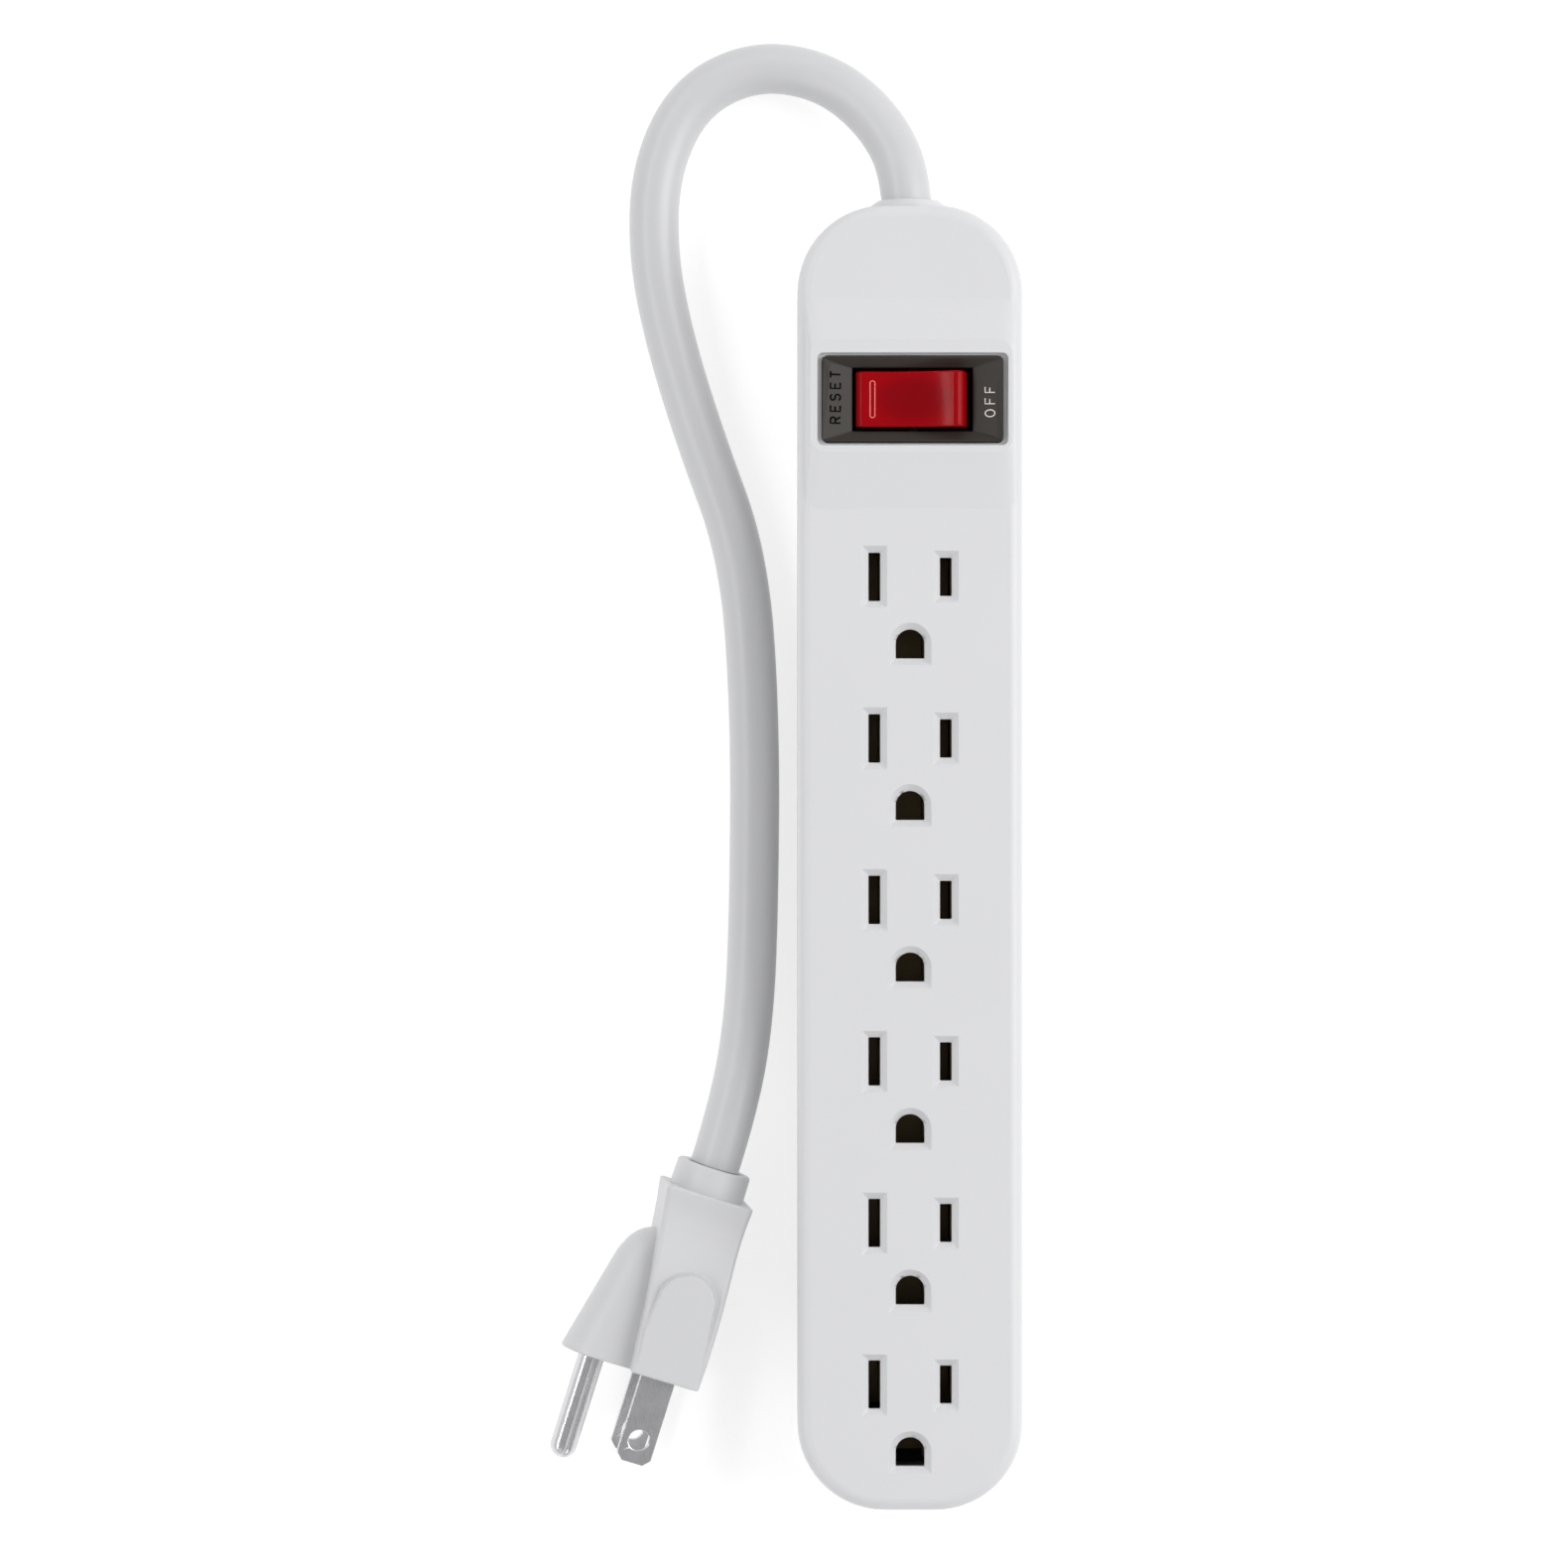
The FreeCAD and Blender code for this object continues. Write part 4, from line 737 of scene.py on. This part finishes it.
def make_legend(name, word, side, spacing, nudge, thickness, finish):
    """A plain word on one of the bezel's end slopes, read from below upward."""
    run = sum(LETTERS[letter][0] for letter in word) + spacing * (len(word) - 1)
    lip, foot, drop, reach, half_tall = 15.5, 10.7, 1.5, 13.7, 1.0
    slope = math.atan2(drop, lip - foot)
    middle = SWITCH_X + side * reach
    height = BEZEL_TOP_Z / MM - drop * (lip - abs(middle - SWITCH_X)) / (lip - foot)
    up = Vector((-math.cos(slope), 0, -side * math.sin(slope)))
    along = Vector((0, 1, 0))
    out = along.cross(up)
    place = Matrix(((along.x, up.x, out.x, middle), (along.y, up.y, out.y, SWITCH_Y / MM),
                    (along.z, up.z, out.z, height), (0, 0, 0, 1)))
    place = Matrix.Scale(MM, 4) @ place @ Matrix.Translation((nudge - run / 2, -half_tall, 0))
    strokes = []
    start = 0.0
    for letter in word:
        width, lines = LETTERS[letter]
        for line in lines:
            strokes.append([(start + across, level, 0) for across, level in line])
        start += width + spacing
    stroke_piece(name, strokes, place, thickness, finish)


# ------------------------------------------------------------------ carried-over pieces

def dress(node, finish, edge=None, least_angle=28):
    """Gives a CAD piece its finish and, where it has one, the small radius on its edges."""
    piece = frame["nodes"][node]
    for holder in piece.material_slots:
        holder.link = "OBJECT"
        holder.material = finish
    if edge is None:
        return piece
    weld = piece.modifiers.new("weld", "WELD")
    weld.merge_threshold = 1e-6
    bevel = piece.modifiers.new("edge_radius", "BEVEL")
    bevel.width = edge * MM
    bevel.segments = 2
    bevel.limit_method = "ANGLE"
    bevel.angle_limit = math.radians(least_angle)
    bevel.use_clamp_overlap = False
    even = piece.modifiers.new("even_shading", "WEIGHTED_NORMAL")
    even.keep_sharp = True
    return piece


def dress_everything(case):
    """Gives every carried-over piece but the plug's blades its finish."""
    dress("top_cover", case, 0.16, least_angle=48)
    dress("base_shell", case, 0.18)
    dress("cord_gland", case, 0.15)
    dress("switch_housing", bezel_plastic(), 0.15)
    # Painted shade: the contact tray is coloured near-black so that the outlet slots look dark
    # inside.
    dress("contact_tray", slot_shade_plastic())
    brass = contact_brass()
    for node in ("line_bus", "neutral_bus", "ground_bus", "contact_arm", "line_terminal",
                 "load_terminal", "lamp_terminal", "plunger"):
        dress(node, brass)
    # Painted shade: the rocker pin is near-black and dull so that its ends sink into the shade
    # of the gap round the rocker.
    dress("rocker_pin", moulded("pin_shade_black", (0.006, 0.006, 0.006), 0.7,
                                Specular_IOR_Level=0.1))
    steel = screw_steel()
    for node in ("case_screws", "rocker_spring", "bimetal_strip",
                 "moving_contact", "fixed_contact"):
        dress(node, steel)
    black = wire_plastic("black_insulation", (0.02, 0.02, 0.022))
    white = wire_plastic("white_insulation", (0.75, 0.75, 0.72))
    dress("line_wire", black)
    dress("switched_wire", black)
    dress("neutral_wire", white)
    dress("lamp_wire", white)
    dress("ground_wire", wire_plastic("green_insulation", (0.02, 0.25, 0.07)))
    dress("indicator_lamp", lamp_glass())
    dress("lamp_resistor", wire_plastic("resistor_lacquer", (0.5, 0.36, 0.2)))


# ------------------------------------------------------------------ studio

def make_floor():
    """Wide flat sheet that the strip lies on."""
    bm = bmesh.new()
    half = 3.0
    cells = 8
    for row in range(cells + 1):
        for column in range(cells + 1):
            bm.verts.new((-half + 2 * half * column / cells, -half + 2 * half * row / cells, 0))
    bm.verts.ensure_lookup_table()
    for row in range(cells):
        for column in range(cells):
            start = row * (cells + 1) + column
            bm.faces.new([bm.verts[start], bm.verts[start + 1], bm.verts[start + cells + 2],
                          bm.verts[start + cells + 1]])
    mesh = bpy.data.meshes.new("floor_sheet")
    bm.to_mesh(mesh)
    bm.free()
    floor = bpy.data.objects.new("floor_sheet", mesh)
    bpy.context.scene.collection.objects.link(floor)
    mesh.materials.append(floor_paper())


def make_camera():
    """Camera square above the face, a little left of and above the strip's middle."""
    height, view_width, sensor = 0.9, 0.2782, 36.0
    across, along = -0.0224, 0.0131
    camera = bpy.data.cameras.new("camera")
    camera.sensor_width = sensor
    camera.lens = sensor * height / view_width
    camera.clip_start = 0.05
    holder = bpy.data.objects.new("camera", camera)
    holder.location = (across, along, FACE_Z + height)
    bpy.context.scene.collection.objects.link(holder)
    bpy.context.scene.camera = holder


def soft_box(name, spot, size, power):
    """White area lamp that faces the strip's middle."""
    light = bpy.data.lights.new(name, "AREA")
    light.shape = "RECTANGLE"
    light.size, light.size_y = size
    light.energy = power
    holder = bpy.data.objects.new(name, light)
    holder.location = spot
    way = -Vector(spot)
    holder.rotation_euler = way.to_track_quat("-Z", "Y").to_euler()
    bpy.context.scene.collection.objects.link(holder)


def make_sky():
    """Soft white surround that is dim overhead, like a tent open at the top."""
    world = bpy.data.worlds.new("studio")
    bpy.context.scene.world = world
    world.use_nodes = True
    sky = Nodes(world.node_tree)
    way = sky.node("TexCoord", output="Generated")
    overhead = sky.part(way, "Z").smooth(0.45, 0.92)
    around, above = (0.74, 0.74, 0.746), (0.36, 0.36, 0.364)
    background = world.node_tree.nodes["Background"]
    sky.feed(background.inputs["Color"], sky.blend(overhead, around, above))
    background.inputs["Strength"].default_value = 1.0


def make_lights():
    """Soft sky, a broad box on the right, a narrow one on the left and a weak one above."""
    make_sky()
    soft_box("right_box", (1.1, 0.15, 0.95), size=(0.8, 1.2), power=12.5)
    soft_box("left_box", (-0.98, 0.1, 1.1), size=(2.4, 0.14), power=8.0)
    soft_box("head_box", (0.0, 1.3, 0.9), size=(1.2, 0.5), power=1.9)
    bpy.context.scene.view_settings.view_transform = "Standard"


# ------------------------------------------------------------------ assembly


def build():
    """Stage first, then the finishes, the dressed CAD pieces and the pieces made here."""
    make_camera()
    make_floor()
    make_lights()
    case = case_plastic()
    dress_everything(case)
    plug_finish = plug_plastic()
    nickel = pin_nickel()
    plug = make_plug(plug_finish)
    collar = make_collar(plug_finish)
    pin = make_ground_pin(nickel)
    blades = [dress("plug_line_blade", nickel, 0.12), dress("plug_neutral_blade", nickel, 0.12)]
    make_cord(jacket_plastic())
    # Painted highlight: the ON bar's outline is pale pink, standing in for light along its
    # moulded edge.
    make_rocker(rocker_plastic(), legend_paint("rocker_mark_highlight", (0.8, 0.2, 0.15), 0.2))
    make_legend("off_legend", "OFF", side=1, spacing=0.7, nudge=-0.45, thickness=0.23,
                finish=legend_paint("off_paint", (0.72, 0.7, 0.65), 0.5))
    make_legend("reset_legend", "RESET", side=-1, spacing=0.65, nudge=0.35, thickness=0.34,
                finish=legend_paint("reset_paint", (0.004, 0.0035, 0.003), 0.7,
                                    Specular_IOR_Level=0.05))


build()
